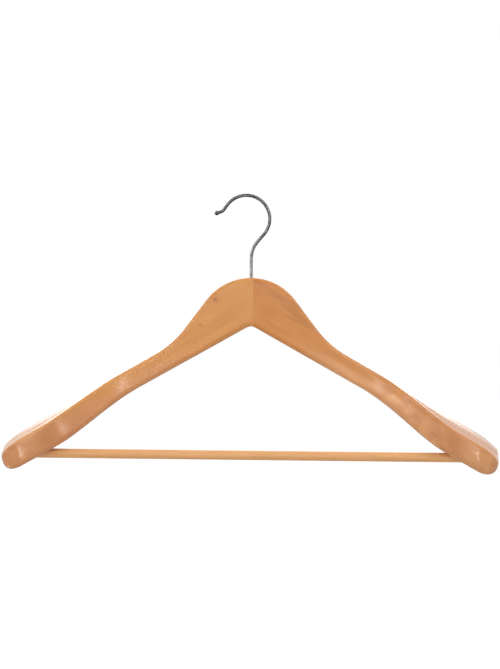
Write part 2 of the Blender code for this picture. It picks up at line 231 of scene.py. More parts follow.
def finished_mesh(name: str, bm: bmesh.types.BMesh, sharp_angle: float = SHARP_ANGLE) -> bpy.types.Mesh:
    """Makes a smooth-shaded mesh with its faces outwards.

    Args:
        name: The mesh's name.
        bm: The shape, which this frees.
        sharp_angle: The angle in degrees from which an edge is shaded sharp.

    Returns:
        The new mesh.
    """
    bmesh.ops.remove_doubles(bm, verts=bm.verts, dist=WELD)
    bmesh.ops.recalc_face_normals(bm, faces=bm.faces)
    mesh = bpy.data.meshes.new(name)
    bm.to_mesh(mesh)
    bm.free()
    mesh.shade_smooth()
    mesh.set_sharp_from_angle(angle=math.radians(sharp_angle))
    return mesh


def new_object(name: str, data: bpy.types.ID) -> bpy.types.Object:
    """Links a new object at the origin.

    Args:
        name: The object's name.
        data: Its mesh in the row frame, its light or its camera.

    Returns:
        The new object.
    """
    made = bpy.data.objects.new(name, data)
    bpy.context.scene.collection.objects.link(made)
    return made


def dress(piece: bpy.types.Object, material: bpy.types.Material, node: str, body: Body) -> None:
    """Gives a piece its only material, hides the node of the frame that it replaces, and puts it on its body.

    Args:
        piece: The piece.
        material: The only material that it keeps.
        node: The node of the frame that it replaces.
        body: Its body.
    """
    piece.data.materials.clear()
    piece.data.materials.append(material)
    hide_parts(node)
    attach(piece, body.value)


def cut(piece: bpy.types.Object, cutters: Sequence[bpy.types.Object]) -> None:
    """Cuts a piece by other objects and removes those.

    Args:
        piece: The piece to cut.
        cutters: Closed objects whose space is taken from it.
    """
    for cutter in cutters:
        modifier = piece.modifiers.new(cutter.name, "BOOLEAN")
        modifier.operation = "DIFFERENCE"
        modifier.solver = "EXACT"
        modifier.object = cutter
    depsgraph = bpy.context.evaluated_depsgraph_get()
    whole = piece.data
    piece.data = bpy.data.meshes.new_from_object(piece.evaluated_get(depsgraph), depsgraph=depsgraph)
    piece.data.name = whole.name
    piece.data.set_sharp_from_angle(angle=math.radians(SHARP_ANGLE))
    piece.modifiers.clear()
    bpy.data.meshes.remove(whole)
    for cutter in cutters:
        bpy.data.objects.remove(cutter, do_unlink=True)


def turned(name: str, outline: Outline, steps: int, place: Matrix) -> bpy.types.Object:
    """Turns a half outline round an axis, as on a lathe.

    Args:
        name: The new object's name.
        outline: (radius, height) points from end to end of the half outline.
        steps: The number of steps in the full turn.
        place: The matrix that puts the turned shape, whose axis is Z, in its place.

    Returns:
        The new object, closed where the outline starts and ends on the axis or on itself.
    """
    bm = bmesh.new()
    points = [bm.verts.new((radius, 0.0, height)) for radius, height in outline]
    for pair in zip(points, points[1:]):
        bm.edges.new(pair)
    bmesh.ops.spin(
        bm,
        geom=bm.verts[:] + bm.edges[:],
        cent=(0.0, 0.0, 0.0),
        axis=(0.0, 0.0, 1.0),
        angle=math.tau,
        steps=steps,
        use_merge=True,
    )
    bmesh.ops.remove_doubles(bm, verts=bm.verts, dist=WELD)
    bmesh.ops.transform(bm, matrix=place, verts=bm.verts)
    return new_object(name, finished_mesh(name, bm))


def drill(name: str, radius: float, start: float, end: float, steps: int, place: Matrix) -> bpy.types.Object:
    """Makes a plain round cutter.

    Args:
        name: The cutter's name.
        radius: Its radius.
        start: Where it starts on its axis.
        end: Where it ends.
        steps: The number of steps round it.
        place: The matrix that puts it, with its axis on Z, in its place.

    Returns:
        The cutter.
    """
    return turned(name, [(0.0, start), (radius, start), (radius, end), (0.0, end)], steps, place)


def eased_edge(radius: float, height: float, reach: float, way: int) -> list[tuple[float, float]]:
    """Rounds the outer edge of a turned outline.

    Args:
        radius: The radius of the wall.
        height: The height of the face.
        reach: How far the rounding goes in and along.
        way: 1 where the wall goes up from the face, -1 where it goes down.

    Returns:
        (radius, height) points from the face to the wall.
    """
    middle = EASED_MIDDLE * reach
    on_face, on_wall = (radius - reach, height), (radius, height + way * reach)
    return [on_face, (radius - middle, height + way * middle), on_wall]


def rounded(corner: Vector, before: Vector, after: Vector, radius: float, steps: int) -> list[Vector]:
    """Rounds one corner of a flat outline.

    Args:
        corner: The corner.
        before: The corner before it.
        after: The corner after it.
        radius: The radius, which gives way where the edges leave no room for it.
        steps: The number of steps in the arc.

    Returns:
        The arc's points, from the edge before to the edge after.
    """
    back, on = (before - corner).normalized(), (after - corner).normalized()
    half_angle = back.angle(on) / 2
    room = CORNER_ROOM * min((before - corner).length, (after - corner).length)
    tangent = min(radius / math.tan(half_angle), room)
    centre = corner + (back + on).normalized() * tangent / math.cos(half_angle)
    first, last = corner + back * tangent - centre, corner + on * tangent - centre
    sweep = -first.angle_signed(last)
    return [centre + Matrix.Rotation(sweep * step / steps, 2) @ first for step in range(steps + 1)]


# Materials


@dataclass(frozen=True)
class Figure:
    """A noise: how tight it is on each axis, how fine it goes, and the values between which it shows."""

    stretch: Stretch
    octaves: float = 2.0
    low: float = 0.0
    high: float = 1.0
    roughness: float = 0.5


class Desk:
    """Lays out the nodes of one material or world."""

    def __init__(self, owner: bpy.types.Material | bpy.types.World) -> None:
        """Starts from the nodes that come with a new material or world.

        Args:
            owner: The material or the world.
        """
        owner.use_nodes = True
        self.owner = owner
        self.nodes = owner.node_tree.nodes
        self.shader = self.nodes.get("Principled BSDF") or self.nodes["Background"]

    def add(self, kind: str, inputs: dict[str, object] | None = None, **settings: object) -> bpy.types.Node:
        """Adds a node.

        Args:
            kind: The node's type.
            inputs: Values or sockets for its named inputs.
            settings: Values for its properties.

        Returns:
            The new node.
        """
        node = self.nodes.new(kind)
        for name, value in settings.items():
            setattr(node, name, value)
        for name, value in (inputs or {}).items():
            self.feed(node.inputs[name], value)
        return node

    def feed(self, socket: Socket, value: object) -> None:
        """Links a socket to an input, or sets its value.

        Args:
            socket: The input.
            value: A socket, or a number or tuple.
        """
        if isinstance(value, bpy.types.NodeSocket):
            self.owner.node_tree.links.new(value, socket)
        else:
            socket.default_value = value

    def give(self, inputs: dict[str, object]) -> None:
        """Feeds the shader.

        Args:
            inputs: Values or sockets for its named inputs.
        """
        for name, value in inputs.items():
            self.feed(self.shader.inputs[name], value)

    def reckon(self, operation: str, *values: object, kind: str = "ShaderNodeMath") -> Socket:
        """Adds a Math node.

        Args:
            operation: Its operation.
            values: Values or sockets for its inputs, in order.
            kind: Its type, which is another for vectors.

        Returns:
            Its output.
        """
        node = self.add(kind, operation=operation)
        for socket, value in zip(node.inputs, values):
            self.feed(socket, value)
        return node.outputs[0]

    def share_of(self, value: Socket, share: object) -> Socket:
        """Takes a share of a value."""
        return self.reckon("MULTIPLY", value, share)

    def stretched(self, place: Socket, stretch: Stretch, turn: float = 0.0) -> Socket:
        """Adds a Mapping node.

        Args:
            place: The vector to map.
            stretch: The scale on each axis.
            turn: The turn about Y in degrees.

        Returns:
            The mapped vector.
        """
        inputs = {"Vector": place, "Scale": stretch, "Rotation": (0.0, math.radians(turn), 0.0)}
        return self.add("ShaderNodeMapping", inputs).outputs[0]

    def noise(self, place: Socket, figure: Figure, output: str = "Fac") -> Socket:
        """Adds a noise.

        Args:
            place: Where it is read.
            figure: Its figure.
            output: The output that is wanted.

        Returns:
            That output, about 0 to 1.
        """
        inputs = {"Vector": self.stretched(place, figure.stretch), "Scale": 1.0}
        inputs |= {"Detail": figure.octaves, "Roughness": figure.roughness}
        return self.add("ShaderNodeTexNoise", inputs).outputs[output]

    def between(self, value: Socket, low: float, high: float, start: float = 0.0, end: float = 1.0) -> Socket:
        """Adds a smooth Map Range node.

        Args:
            value: The value to map.
            low: The value that gives start.
            high: The value that gives end.
            start: The lowest result.
            end: The highest result.

        Returns:
            The mapped value.
        """
        inputs = {"Value": value, "From Min": low, "From Max": high, "To Min": start, "To Max": end}
        return self.add("ShaderNodeMapRange", inputs, interpolation_type="SMOOTHSTEP").outputs["Result"]

    def shown(self, place: Socket, figure: Figure) -> Socket:
        """A noise that rises from 0 to 1 between its figure's two values."""
        return self.between(self.noise(place, figure), figure.low, figure.high)

    def blend(self, share: object, first: object, second: object, mode: str = "MIX") -> Socket:
        """Mixes two colours.

        Args:
            share: The share of the second colour.
            first: A colour or a socket.
            second: A colour or a socket.
            mode: The blend mode.

        Returns:
            The mixed colour.
        """
        node = self.add("ShaderNodeMix", data_type="RGBA", blend_type=mode)
        factor, one, two = (item for item in node.inputs if item.enabled)
        self.feed(factor, share)
        for socket, colour in ((one, first), (two, second)):
            self.feed(socket, (*colour, 1.0) if isinstance(colour, tuple) else colour)
        return next(item for item in node.outputs if item.enabled)

    def parts(self, vector: Socket) -> list[Socket]:
        """Splits a vector into its three parts."""
        return list(self.add("ShaderNodeSeparateXYZ", {"Vector": vector}).outputs)

    def distance(self, place: Socket, middle: dict[int, float]) -> Socket:
        """Works out how far a place is from an axis.

        Args:
            place: The place.
            middle: Where the axis crosses each of the two other axes, which are numbered from 0.

        Returns:
            The distance.
        """
        parts = self.parts(place)
        offsets = [self.reckon("SUBTRACT", parts[axis], value) for axis, value in middle.items()]
        squares = [self.reckon("MULTIPLY", offset, offset) for offset in offsets]
        return self.reckon("SQRT", self.reckon("ADD", *squares))

    def bump(self, layer: str, height: Socket, distance: float = 1.0, strength: float = 1.0) -> None:
        """Gives a layer of the shader a bump.

        Args:
            layer: The name of the layer's normal.
            height: The height.
            distance: What a height of 1 stands for, in metres.
            strength: The share of the bump that is shown.
        """
        node = self.add("ShaderNodeBump", {"Height": height, "Distance": distance, "Strength": strength})
        self.give({layer: node.outputs["Normal"]})

    def seen_directly(self) -> Socket:
        """Tells rays from the eye and from gloss and glass apart from the rest.

        Returns:
            1 for such rays and 0 for others.
        """
        path = self.add("ShaderNodeLightPath").outputs
        seen = self.reckon("MAXIMUM", path["Is Camera Ray"], path["Is Glossy Ray"])
        return self.reckon("MAXIMUM", seen, path["Is Transmission Ray"])


@dataclass(frozen=True)
class KnotOrShade:
    """A pin knot in a board's front, or a ruddy patch where it has no heart: on the flares, painted shade.

    It lies at (x, z) from the swivel's axis and the top of the wood.
    """

    x: float
    z: float
    radius: float = 0.0011
    heart: float = 0.75
    halo: float = 0.40
    halo_reach: float = 2.6
    core: float = 0.0003
    wobble: Figure = Figure((900.0, 900.0, 900.0))
    wobble_reach: float = 0.0006
    heart_tone: float = 0.55


@dataclass(frozen=True)
class WoodFinish:
    """Lacquered pale hardwood, with its grain along X turned by an angle about Y, and a painted sheen low on
    its outer part.
    """

    name: str
    pale: Colour
    deep: Colour
    ruddy: Colour
    grain_turn: float
    ring_centre: tuple[float, float]
    ring_width: float = 0.0105
    ring_share: float = 0.16
    ring_rise: tuple[float, float] = (0.05, 0.86)
    ring_fall: tuple[float, float] = (1.0, 0.90)
    wander: Figure = Figure((5.0, 22.0, 22.0), 1.0)
    wander_rings: float = 1.6
    drift: Figure = Figure((9.0, 34.0, 34.0))
    drift_reach: float = 0.007
    fibres: Figure = Figure((30.0, 760.0, 760.0), 3.0, 0.30, 0.70)
    fibre_tones: tuple[float, float] = (0.965, 1.03)
    cloud: Figure = Figure((13.0, 60.0, 60.0), 3.0, 0.34, 0.68)
    ruddy_share: float = 0.40
    pores: Figure = Figure((330.0, 5200.0, 5200.0), 1.0, 0.66, 0.74)
    pore_share: float = 0.25
    flecks: Figure = Figure((420.0, 3600.0, 900.0), 0.0, 0.70, 0.78)
    fleck_share: float = 0.20
    streaks: Figure = Figure((12.0, 95.0, 95.0), 2.0, 0.50, 0.72)
    streak_share: float = 0.10
    # Pin knots, and heartless ruddy patches, which on the flares are painted shade
    knots_and_shade: tuple[KnotOrShade, ...] = ()
    # Painted sheen: a paler, bluer tint multiplied in below a line along the shoulder, growing away from the
    # middle
    tip_sheen_tint: Colour = (1.0, 1.0, 1.0)
    sheen_edge: float = 0.0
    sheen_fade: float = 0.006
    sheen_span: tuple[float, float] = (0.015, 0.095)
    roughness: float = 0.45
    roughness_swing: float = 0.05
    lacquer: float = 0.9
    lacquer_roughness: float = 0.21
    neck_lacquer: float = 0.25
    neck_span: tuple[float, float] = (0.045, 0.085)
    waves: Figure = Figure((45.0, 110.0, 110.0), 1.0)
    waviness: float = 0.0002
    relief: float = 0.000003
    fibre_relief: float = 0.5
    pore_relief: float = 0.6

    def material(self) -> bpy.types.Material:
        """Builds the material.

        Returns:
            The material.
        """
        desk = Desk(bpy.data.materials.new(self.name))
        place = desk.add("ShaderNodeTexCoord").outputs["Object"]
        grain = self.along_grain(desk, place)
        from_middle = desk.reckon("ABSOLUTE", desk.reckon("SUBTRACT", desk.parts(place)[0], from_swivel().x))
        fibres, pores = desk.noise(grain, self.fibres), desk.shown(grain, self.pores)
        cloud = desk.shown(grain, self.cloud)

        colour = self.figured(desk, grain, fibres, pores, cloud)
        # Painted sheen: the lower band of the shoulder is paled and blued, more away from the middle,
        # standing in for the lacquer's reflection
        edge = desk.between(desk.parts(grain)[2], self.sheen_edge - self.sheen_fade, self.sheen_edge, 1.0, 0.0)
        painted_sheen = desk.share_of(edge, desk.between(from_middle, *self.sheen_span))
        colour = desk.blend(painted_sheen, colour, self.tip_sheen_tint, "MULTIPLY")
        # Knots, and on the flares heartless patches of painted shade
        for knot in self.knots_and_shade:
            colour = self.with_knot_or_shade(desk, place, knot, colour)
        smooth, rough = self.roughness - self.roughness_swing, self.roughness + self.roughness_swing
        desk.give({
            "Base Color": colour,
            "Roughness": desk.between(cloud, 0.0, 1.0, smooth, rough),
            "Coat Weight": desk.between(from_middle, *self.neck_span, self.neck_lacquer, self.lacquer),
            "Coat Roughness": self.lacquer_roughness,
        })

        form = desk.share_of(desk.noise(grain, self.waves), self.waviness)
        raised, sunk = desk.share_of(fibres, self.fibre_relief), desk.share_of(pores, self.pore_relief)
        desk.bump("Coat Normal", form)
        figure = desk.reckon("SUBTRACT", raised, sunk)
        desk.bump("Normal", desk.reckon("MULTIPLY_ADD", figure, self.relief, form))
        desk.owner.diffuse_color = (*self.pale, 1.0)
        return desk.owner

    def along_grain(self, desk: Desk, place: Socket) -> Socket:
        """Turns places to the grain, which runs a little astray.

        Args:
            desk: The material's nodes.
            place: The place on the piece.

        Returns:
            The place along and across the grain.
        """
        vectors, mean = "ShaderNodeVectorMath", (0.5, 0.5, 0.5)
        grain = desk.stretched(place, (1.0, 1.0, 1.0), self.grain_turn)
        drift = desk.reckon("SUBTRACT", desk.noise(grain, self.drift, "Color"), mean, kind=vectors)
        reach = (0.0, self.drift_reach, self.drift_reach)
        return desk.reckon("ADD", grain, desk.reckon("MULTIPLY", drift, reach, kind=vectors), kind=vectors)

    def figured(self, desk: Desk, grain: Socket, fibres: Socket, pores: Socket, cloud: Socket) -> Socket:
        """Colours the wood's figure.

        Args:
            desk: The material's nodes.
            grain: The place along and across the grain.
            fibres: The fibres' noise.
            pores: 1 in the pores.
            cloud: 1 in the ruddy clouds.

        Returns:
            The colour.
        """
        rings = desk.share_of(self.growth_rings(desk, grain), self.ring_share)
        colour = desk.blend(rings, self.pale, self.deep)
        colour = desk.blend(desk.share_of(cloud, self.ruddy_share), colour, self.ruddy)
        tone = desk.between(fibres, self.fibres.low, self.fibres.high, *self.fibre_tones)
        tones = desk.add("ShaderNodeCombineXYZ", {"X": tone, "Y": tone, "Z": tone}).outputs[0]
        colour = desk.blend(1.0, colour, tones, "MULTIPLY")
        layers = (
            (pores, self.pore_share, self.deep),
            (desk.shown(grain, self.flecks), self.fleck_share, self.ruddy),
            (desk.shown(grain, self.streaks), self.streak_share, self.deep),
        )
        for layer, share, shade in layers:
            colour = desk.blend(desk.share_of(layer, share), colour, shade)
        return colour

    def growth_rings(self, desk: Desk, grain: Socket) -> Socket:
        """Draws the growth rings, which darken slowly and end sharply.

        Args:
            desk: The material's nodes.
            grain: The place along and across the grain.

        Returns:
            0 in early wood to 1 in late wood.
        """
        radius = desk.distance(grain, {1: self.ring_centre[0], 2: self.ring_centre[1]})
        wander = desk.share_of(desk.noise(grain, self.wander), self.wander_rings)
        turns = desk.reckon("ADD", desk.reckon("DIVIDE", radius, self.ring_width), wander)
        within = desk.reckon("FRACT", turns)
        return desk.share_of(desk.between(within, *self.ring_rise), desk.between(within, *self.ring_fall))

    def with_knot_or_shade(self, desk: Desk, place: Socket, knot: KnotOrShade, colour: Socket) -> Socket:
        """Darkens the colour round a pin knot, or over a patch of painted shade.

        Args:
            desk: The material's nodes.
            place: The place on the piece.
            knot: The knot, or the patch of painted shade.
            colour: The colour without it.

        Returns:
            The colour with it.
        """
        middle = from_swivel(x=knot.x, z=knot.z)
        away = desk.distance(place, {0: middle.x, 2: middle.z})
        away = desk.reckon("MULTIPLY_ADD", desk.noise(place, knot.wobble), knot.wobble_reach, away)
        halo = desk.between(away, knot.core, knot.radius * knot.halo_reach, knot.halo, 0.0)
        heart = desk.between(away, knot.core, knot.radius, knot.heart, 0.0)
        colour = desk.blend(halo, colour, self.ruddy)
        return desk.blend(heart, colour, tuple(channel * knot.heart_tone for channel in self.deep))


@dataclass(frozen=True)
class MetalFinish:
    """Bare or plated metal, with marks from drawing or rolling, and on a wire a duller shank painted paler as
    a painted reflection.
    """

    name: str
    colour: Colour
    dull: Colour
    roughness: float
    marks: Figure
    mark_share: float = 0.35
    mark_depth: float = 0.000002
    mark_strength: float = 0.15
    cloud: Figure = Figure((220.0, 220.0, 220.0), 3.0, 0.35, 0.70)
    cloud_share: float = 0.5
    wear_span: tuple[float, float] = (0.3, 1.5)
    wear_swing: tuple[float, float] = (0.75, 1.35)
    # On a wire: a paler colour on the straight shank up to the bend, a painted reflection, with a duller
    # finish
    foot: Colour | None = None
    painted_shank_span: tuple[float, float] = (0.050, 0.078)
    foot_dullness: float = 1.5

    def material(self) -> bpy.types.Material:
        """Builds the material.

        Returns:
            The material.
        """
        desk = Desk(bpy.data.materials.new(self.name))
        place = desk.add("ShaderNodeTexCoord").outputs["Object"]
        marks_at = place
        if self.foot:
            marks_at = desk.add("ShaderNodeAttribute", attribute_name=SKIN_PLACE).outputs["Vector"]
        marks, cloud = desk.noise(marks_at, self.marks), desk.shown(place, self.cloud)
        dulled = desk.reckon("MULTIPLY_ADD", marks, self.mark_share, desk.share_of(cloud, self.cloud_share))
        colour = desk.blend(dulled, self.colour, self.dull)
        roughest = [self.roughness * swing for swing in self.wear_swing]
        rough = desk.between(desk.reckon("ADD", marks, cloud), *self.wear_span, *roughest)
        # The straight shank is painted paler, a painted reflection, and made rougher
        if self.foot:
            past_painted_shank = desk.between(desk.parts(marks_at)[0], *self.painted_shank_span)
            colour = desk.blend(past_painted_shank, self.foot, colour)
            rough = desk.share_of(rough, desk.between(past_painted_shank, 0.0, 1.0, self.foot_dullness, 1.0))
        desk.give({"Base Color": colour, "Roughness": rough, "Metallic": 1.0})
        desk.bump("Normal", marks, self.mark_depth, self.mark_strength)
        desk.owner.diffuse_color = (*self.colour, 1.0)
        return desk.owner


# Wood


@dataclass(frozen=True)
class Crest:
    """A soft crest that shaping by hand left on a front, at (u, z) from the middle and the wood's top."""

    u: float
    z: float
    height: float
    half_length: float
    half_width: float
    slant: float = 0.0

    def rise(self, u: float, z: float) -> float:
        """Height of the crest over the plain front.

        Args:
            u: Distance from the middle.
            z: Height, 0 at the crown.

        Returns:
            The height.
        """
        right, up = u - self.u, z - self.z
        along = (right * math.cos(self.slant) + up * math.sin(self.slant)) / self.half_length
        across = (up * math.cos(self.slant) - right * math.sin(self.slant)) / self.half_width
        return self.height * max(0.0, 1 - along * along - across * across) ** 2


@dataclass
class WoodForm:
    """Sizes of the two shoulders and of what they carry, and the sections that follow from them."""

    half_span: float = 0.2225
    crown_radius: float = 0.051
    flank: float = math.radians(53.0)
    fillet_radius: float = 0.093
    slope: float = math.radians(29.8)
    shoulder_line_depth: float = 0.0199
    neck_height: float = 0.043
    tip_height: float = 0.0208
    apex_radius: float = 0.010
    board_thickness: float = 0.016
    board_edge_radius: float = 0.005
    finger_count: int = 4
    finger_reach: float = 0.0027
    tip_to_full_flare: float = 0.034
    front_reach: float = 0.052
    front_lean: float = 0.0084
    back_offset: float = 0.005
    top_flare_length: float = 0.070
    low_flare_length: float = 0.087
    back_sweep_length: float = 0.110
    top_front_drop: float = 0.0104
    low_front_drop: float = 0.0149
    low_back_drop: float = 0.005
    low_drop_lead: float = 0.017
    top_crown: float = 0.0015
    flared_radii: tuple[float, float, float, float] = (0.006, 0.0025, 0.0065, 0.006)
    tip_length: float = 0.0195
    tip_round_front: float = 0.0187
    tip_round_back: float = 0.012
    tip_round_top: float = 0.0056
    tip_round_low: float = 0.0185
    tip_round_limit: float = 0.94
    bar_radius: float = 0.00425
    bar_forward: float = 0.027
    bar_cover: float = 0.0054
    socket_to_tip: float = 0.0165
    corner_steps: int = 8
    face_steps: int = 26
    # The number of steps in each stretch, from the fingers to the start of the round tip
    section_counts: tuple[int, ...] = (2, 5, 18, 2, 14, 6, 56, 20)
    tip_sections: int = 26

    @property
    def full_flare(self) -> float:
        """Distance from the middle at which a shoulder reaches its full depth."""
        return self.half_span - self.tip_to_full_flare

    @property
    def ring_sides(self) -> int:
        """The number of points in a section."""
        return 4 * (self.corner_steps + 1 + self.face_steps)

    @property
    def bar_end(self) -> float:
        """Distance from the middle to an end of the trouser bar."""
        return self.half_span - self.socket_to_tip

    def crown_end(self) -> tuple[float, float]:
        """(u, drop) where the round crown meets the flank."""
        return self.crown_radius * math.sin(self.flank), self.crown_radius * (1 - math.cos(self.flank))

    def fillet_ends(self) -> tuple[float, float]:
        """Where the fillet between flank and shoulder starts and ends.

        Returns:
            The two distances from the middle.
        """
        end_u, end_drop = self.crown_end()
        rise = self.shoulder_line_depth - end_drop + math.tan(self.flank) * end_u
        meeting = rise / (math.tan(self.flank) - math.tan(self.slope))
        tangent = self.fillet_radius * math.tan((self.flank - self.slope) / 2)
        return meeting - tangent * math.cos(self.flank), meeting + tangent * math.cos(self.slope)

    def top_height(self, u: float) -> float:
        """Height of the top outline: crown, flank, fillet and straight shoulder.

        Args:
            u: Distance from the middle.

        Returns:
            The height, 0 at the crown.
        """
        u = abs(u)
        end_u, end_drop = self.crown_end()
        fillet_start, fillet_end = self.fillet_ends()
        if u <= end_u:
            return math.sqrt(self.crown_radius**2 - u**2) - self.crown_radius
        if u <= fillet_start:
            return -end_drop - math.tan(self.flank) * (u - end_u)
        if u >= fillet_end:
            return -self.shoulder_line_depth - math.tan(self.slope) * u
        centre_u = fillet_start + self.fillet_radius * math.sin(self.flank)
        fall = end_drop + math.tan(self.flank) * (fillet_start - end_u)
        centre_z = self.fillet_radius * math.cos(self.flank) - fall
        return centre_z - math.sqrt(self.fillet_radius**2 - (u - centre_u) ** 2)

    def under_slope(self) -> float:
        """Angle of the straight underside, from the neck to the tip."""
        fall = self.tip_height - self.top_height(self.half_span) - self.neck_height
        return math.atan(fall / self.half_span)

    def apex_half_width(self) -> float:
        """Distance from the middle to which the underside is rounded."""
        return self.apex_radius * math.sin(self.under_slope())

    def under_height(self, u: float) -> float:
        """Height of the underside, rounded in the middle.

        Args:
            u: Distance from the middle.

        Returns:
            The height.
        """
        slope = self.under_slope()
        if abs(u) > self.apex_half_width():
            return -self.neck_height - math.tan(slope) * abs(u)
        bow = math.sqrt(self.apex_radius**2 - u**2)
        return bow - self.apex_radius / math.cos(slope) - self.neck_height

    def section_corners(self, u: float) -> list[Vector]:
        """Places a section's corners.

        Args:
            u: Distance from the middle.

        Returns:
            (y, z) of top back, top front, low front and low back.
        """
        full, half = self.full_flare, self.board_thickness / 2
        top_flare = ease(u, full - self.top_flare_length, full)
        low_flare = ease(u, full - self.low_flare_length, full)
        low_drop = ease(u, full - self.low_flare_length, full - self.low_drop_lead)
        back_y = half - (self.back_offset + half) * ease(u, full - self.back_sweep_length, full)
        top_front_y = -half - (self.front_reach - half) * top_flare
        low_front_y = -half - (self.front_reach - self.front_lean - half) * low_flare
        top, under = self.top_height(u), self.under_height(u)
        return [
            Vector((back_y, top)),
            Vector((top_front_y, top - self.top_front_drop * top_flare)),
            Vector((low_front_y, under - self.low_front_drop * low_drop)),
            Vector((back_y, under - self.low_back_drop * low_drop)),
        ]

    def drawn_in(self, u: float, corners: list[Vector]) -> list[Vector]:
        """Draws a section's corners in where it lies in the rounded tip.

        Args:
            u: Distance from the middle.
            corners: The section's corners.

        Returns:
            The corners, closer to each other.
        """
        into = (u - self.half_span + self.tip_length) / self.tip_length
        if into <= 0:
            return corners
        top_back, top_front, low_front, low_back = corners
        share = 1 - math.sqrt(max(0.0, 1 - into * into))
        depth, height = top_back.x - low_front.x, top_front.y - low_front.y
        across = share * min(1.0, self.tip_round_limit * depth / (self.tip_round_front + self.tip_round_back))
        down = share * min(1.0, self.tip_round_limit * height / (self.tip_round_top + self.tip_round_low))
        front, back = self.tip_round_front * across, -self.tip_round_back * across
        top, low = -self.tip_round_top * down, self.tip_round_low * down
        return [
            top_back + Vector((back, top)),
            top_front + Vector((front, top)),
            low_front + Vector((front, low)),
            low_back + Vector((back, low)),
        ]

    def section(self, u: float) -> list[Vector]:
        """Outlines a section, rounded at its corners and crowned on top where it is flared.

        Args:
            u: Distance from the middle.

        Returns:
            (y, z) points all round.
        """
        corners = self.drawn_in(u, self.section_corners(u))
        flared = ease(u, self.full_flare - self.low_flare_length, self.full_flare)
        plain = self.board_edge_radius
        arcs = []
        for i, own in enumerate(self.flared_radii):
            before, after = corners[i - 1], corners[(i + 1) % 4]
            arcs.append(rounded(corners[i], before, after, plain + (own - plain) * flared, self.corner_steps))
        crown = self.top_crown * ease(u, self.full_flare - self.top_flare_length, self.full_flare)
        points = []
        for i, arc in enumerate(arcs):
            points += arc
            start, end = arc[-1], arcs[(i + 1) % 4][0]
            for step in range(1, self.face_steps + 1):
                share = step / (self.face_steps + 1)
                rise = crown * (1 - math.cos(math.tau * share)) / 2 if i == 0 else 0.0
                points.append(start.lerp(end, share) + Vector((0, rise)))
        return points

    def stations(self, start: float) -> list[float]:
        """Chooses where a shoulder's sections lie, closest where its shape turns.

        Args:
            start: The first distance from the middle, below 0 where the fingers reach past it.

        Returns:
            The distances, rising.
        """
        low_flare, tip = self.full_flare - self.low_flare_length, self.half_span - self.tip_length
        marks = [start, 0.0, self.apex_half_width(), self.crown_end()[0], *self.fillet_ends()]
        marks += [low_flare, self.full_flare, tip]
        found = []
        for low, high, count in zip(marks, marks[1:], self.section_counts):
            found += [low + (high - low) * step / count for step in range(count)]
        turns = [math.pi / 2 * step / self.tip_sections for step in range(self.tip_sections + 1)]
        return found + [tip + self.tip_length * math.sin(turn) for turn in turns]

    def under_bar(self, u: float) -> float:
        """Height of a shoulder's underside in the upright plane through the bar.

        Args:
            u: Distance from the middle.

        Returns:
            The height.
        """
        low_front, low_back = self.section_corners(u)[2:]
        share = (low_back.x + self.bar_forward) / (low_back.x - low_front.x)
        return low_back.lerp(low_front, share).y

    def bar_height(self) -> float:
        """Height of the bar's axis."""
        return self.under_bar(self.bar_end) + self.bar_cover + self.bar_radius

    def bar_place(self, quarter_turns: int) -> Matrix:
        """Places the middle of the bar.

        Args:
            quarter_turns: 1 to turn Z along the bar to the right, -1 to the left.

        Returns:
            The matrix of its place.
        """
        middle = from_swivel(y=-self.bar_forward, z=self.bar_height())
        return Matrix.Translation(middle) @ Matrix.Rotation(quarter_turns * math.radians(90), 4, "Y")


@dataclass
class BradForm:
    """Sizes of the brads that pin the bar, and their places."""

    wood: WoodForm
    shank_radius: float = 0.0007
    head_radius: float = 0.0013
    head_thickness: float = 0.0006
    head_dish: float = 0.00012
    point_length: float = 0.0016
    inset: float = 0.005
    recess: float = 0.001
    grip: float = 0.005
    clearance: float = 0.0002
    steps: int = 24

    def seat(self) -> tuple[float, float]:
        """(u, height) of the seat of a brad's head, sunk in the underside."""
        u = self.wood.bar_end - self.inset
        return u, self.wood.under_bar(u) + self.recess + self.head_thickness

    def length(self) -> float:
        """Length of a brad's shank."""
        return self.wood.bar_height() + self.wood.bar_radius + self.grip - self.seat()[1]

    def place(self, side: Side) -> Matrix:
        """Places a brad's seat in the row frame.

        Args:
            side: The shoulder that it is in.

        Returns:
            The matrix of its place.
        """
        u, height = self.seat()
        return Matrix.Translation(from_swivel(side.value * u, -self.wood.bar_forward, height))


@dataclass
class NeckForm:
    """Sizes of what sits in the neck: the bore, the pocket, the washer and the nut."""

    wood: WoodForm
    shank_radius: float = 0.0015
    shank_clearance: float = 0.0004
    washer_clearance: float = 0.0005
    washer_radius: float = 0.0045
    washer_thickness: float = 0.0008
    nut_width: float = 0.0055
    nut_thickness: float = 0.0024
    nut_recess: float = 0.002
    shank_past_nut: float = 0.001
    gap: float = 0.0003

    def washer_seat(self) -> float:
        """Height of the seat in the neck on which the washer bears."""
        stack = self.washer_thickness + self.nut_thickness + 2 * self.gap
        return self.wood.under_height(0.0) + self.nut_recess + self.shank_past_nut + stack

    def washer_top(self) -> float:
        """Height of the washer's upper face."""
        return self.washer_seat() - self.gap

    def nut_top(self) -> float:
        """Height of the nut's upper face."""
        return self.washer_top() - self.washer_thickness - self.gap

    def foot(self) -> float:
        """Height of the foot of the shank."""
        return self.nut_top() - self.nut_thickness - self.shank_past_nut


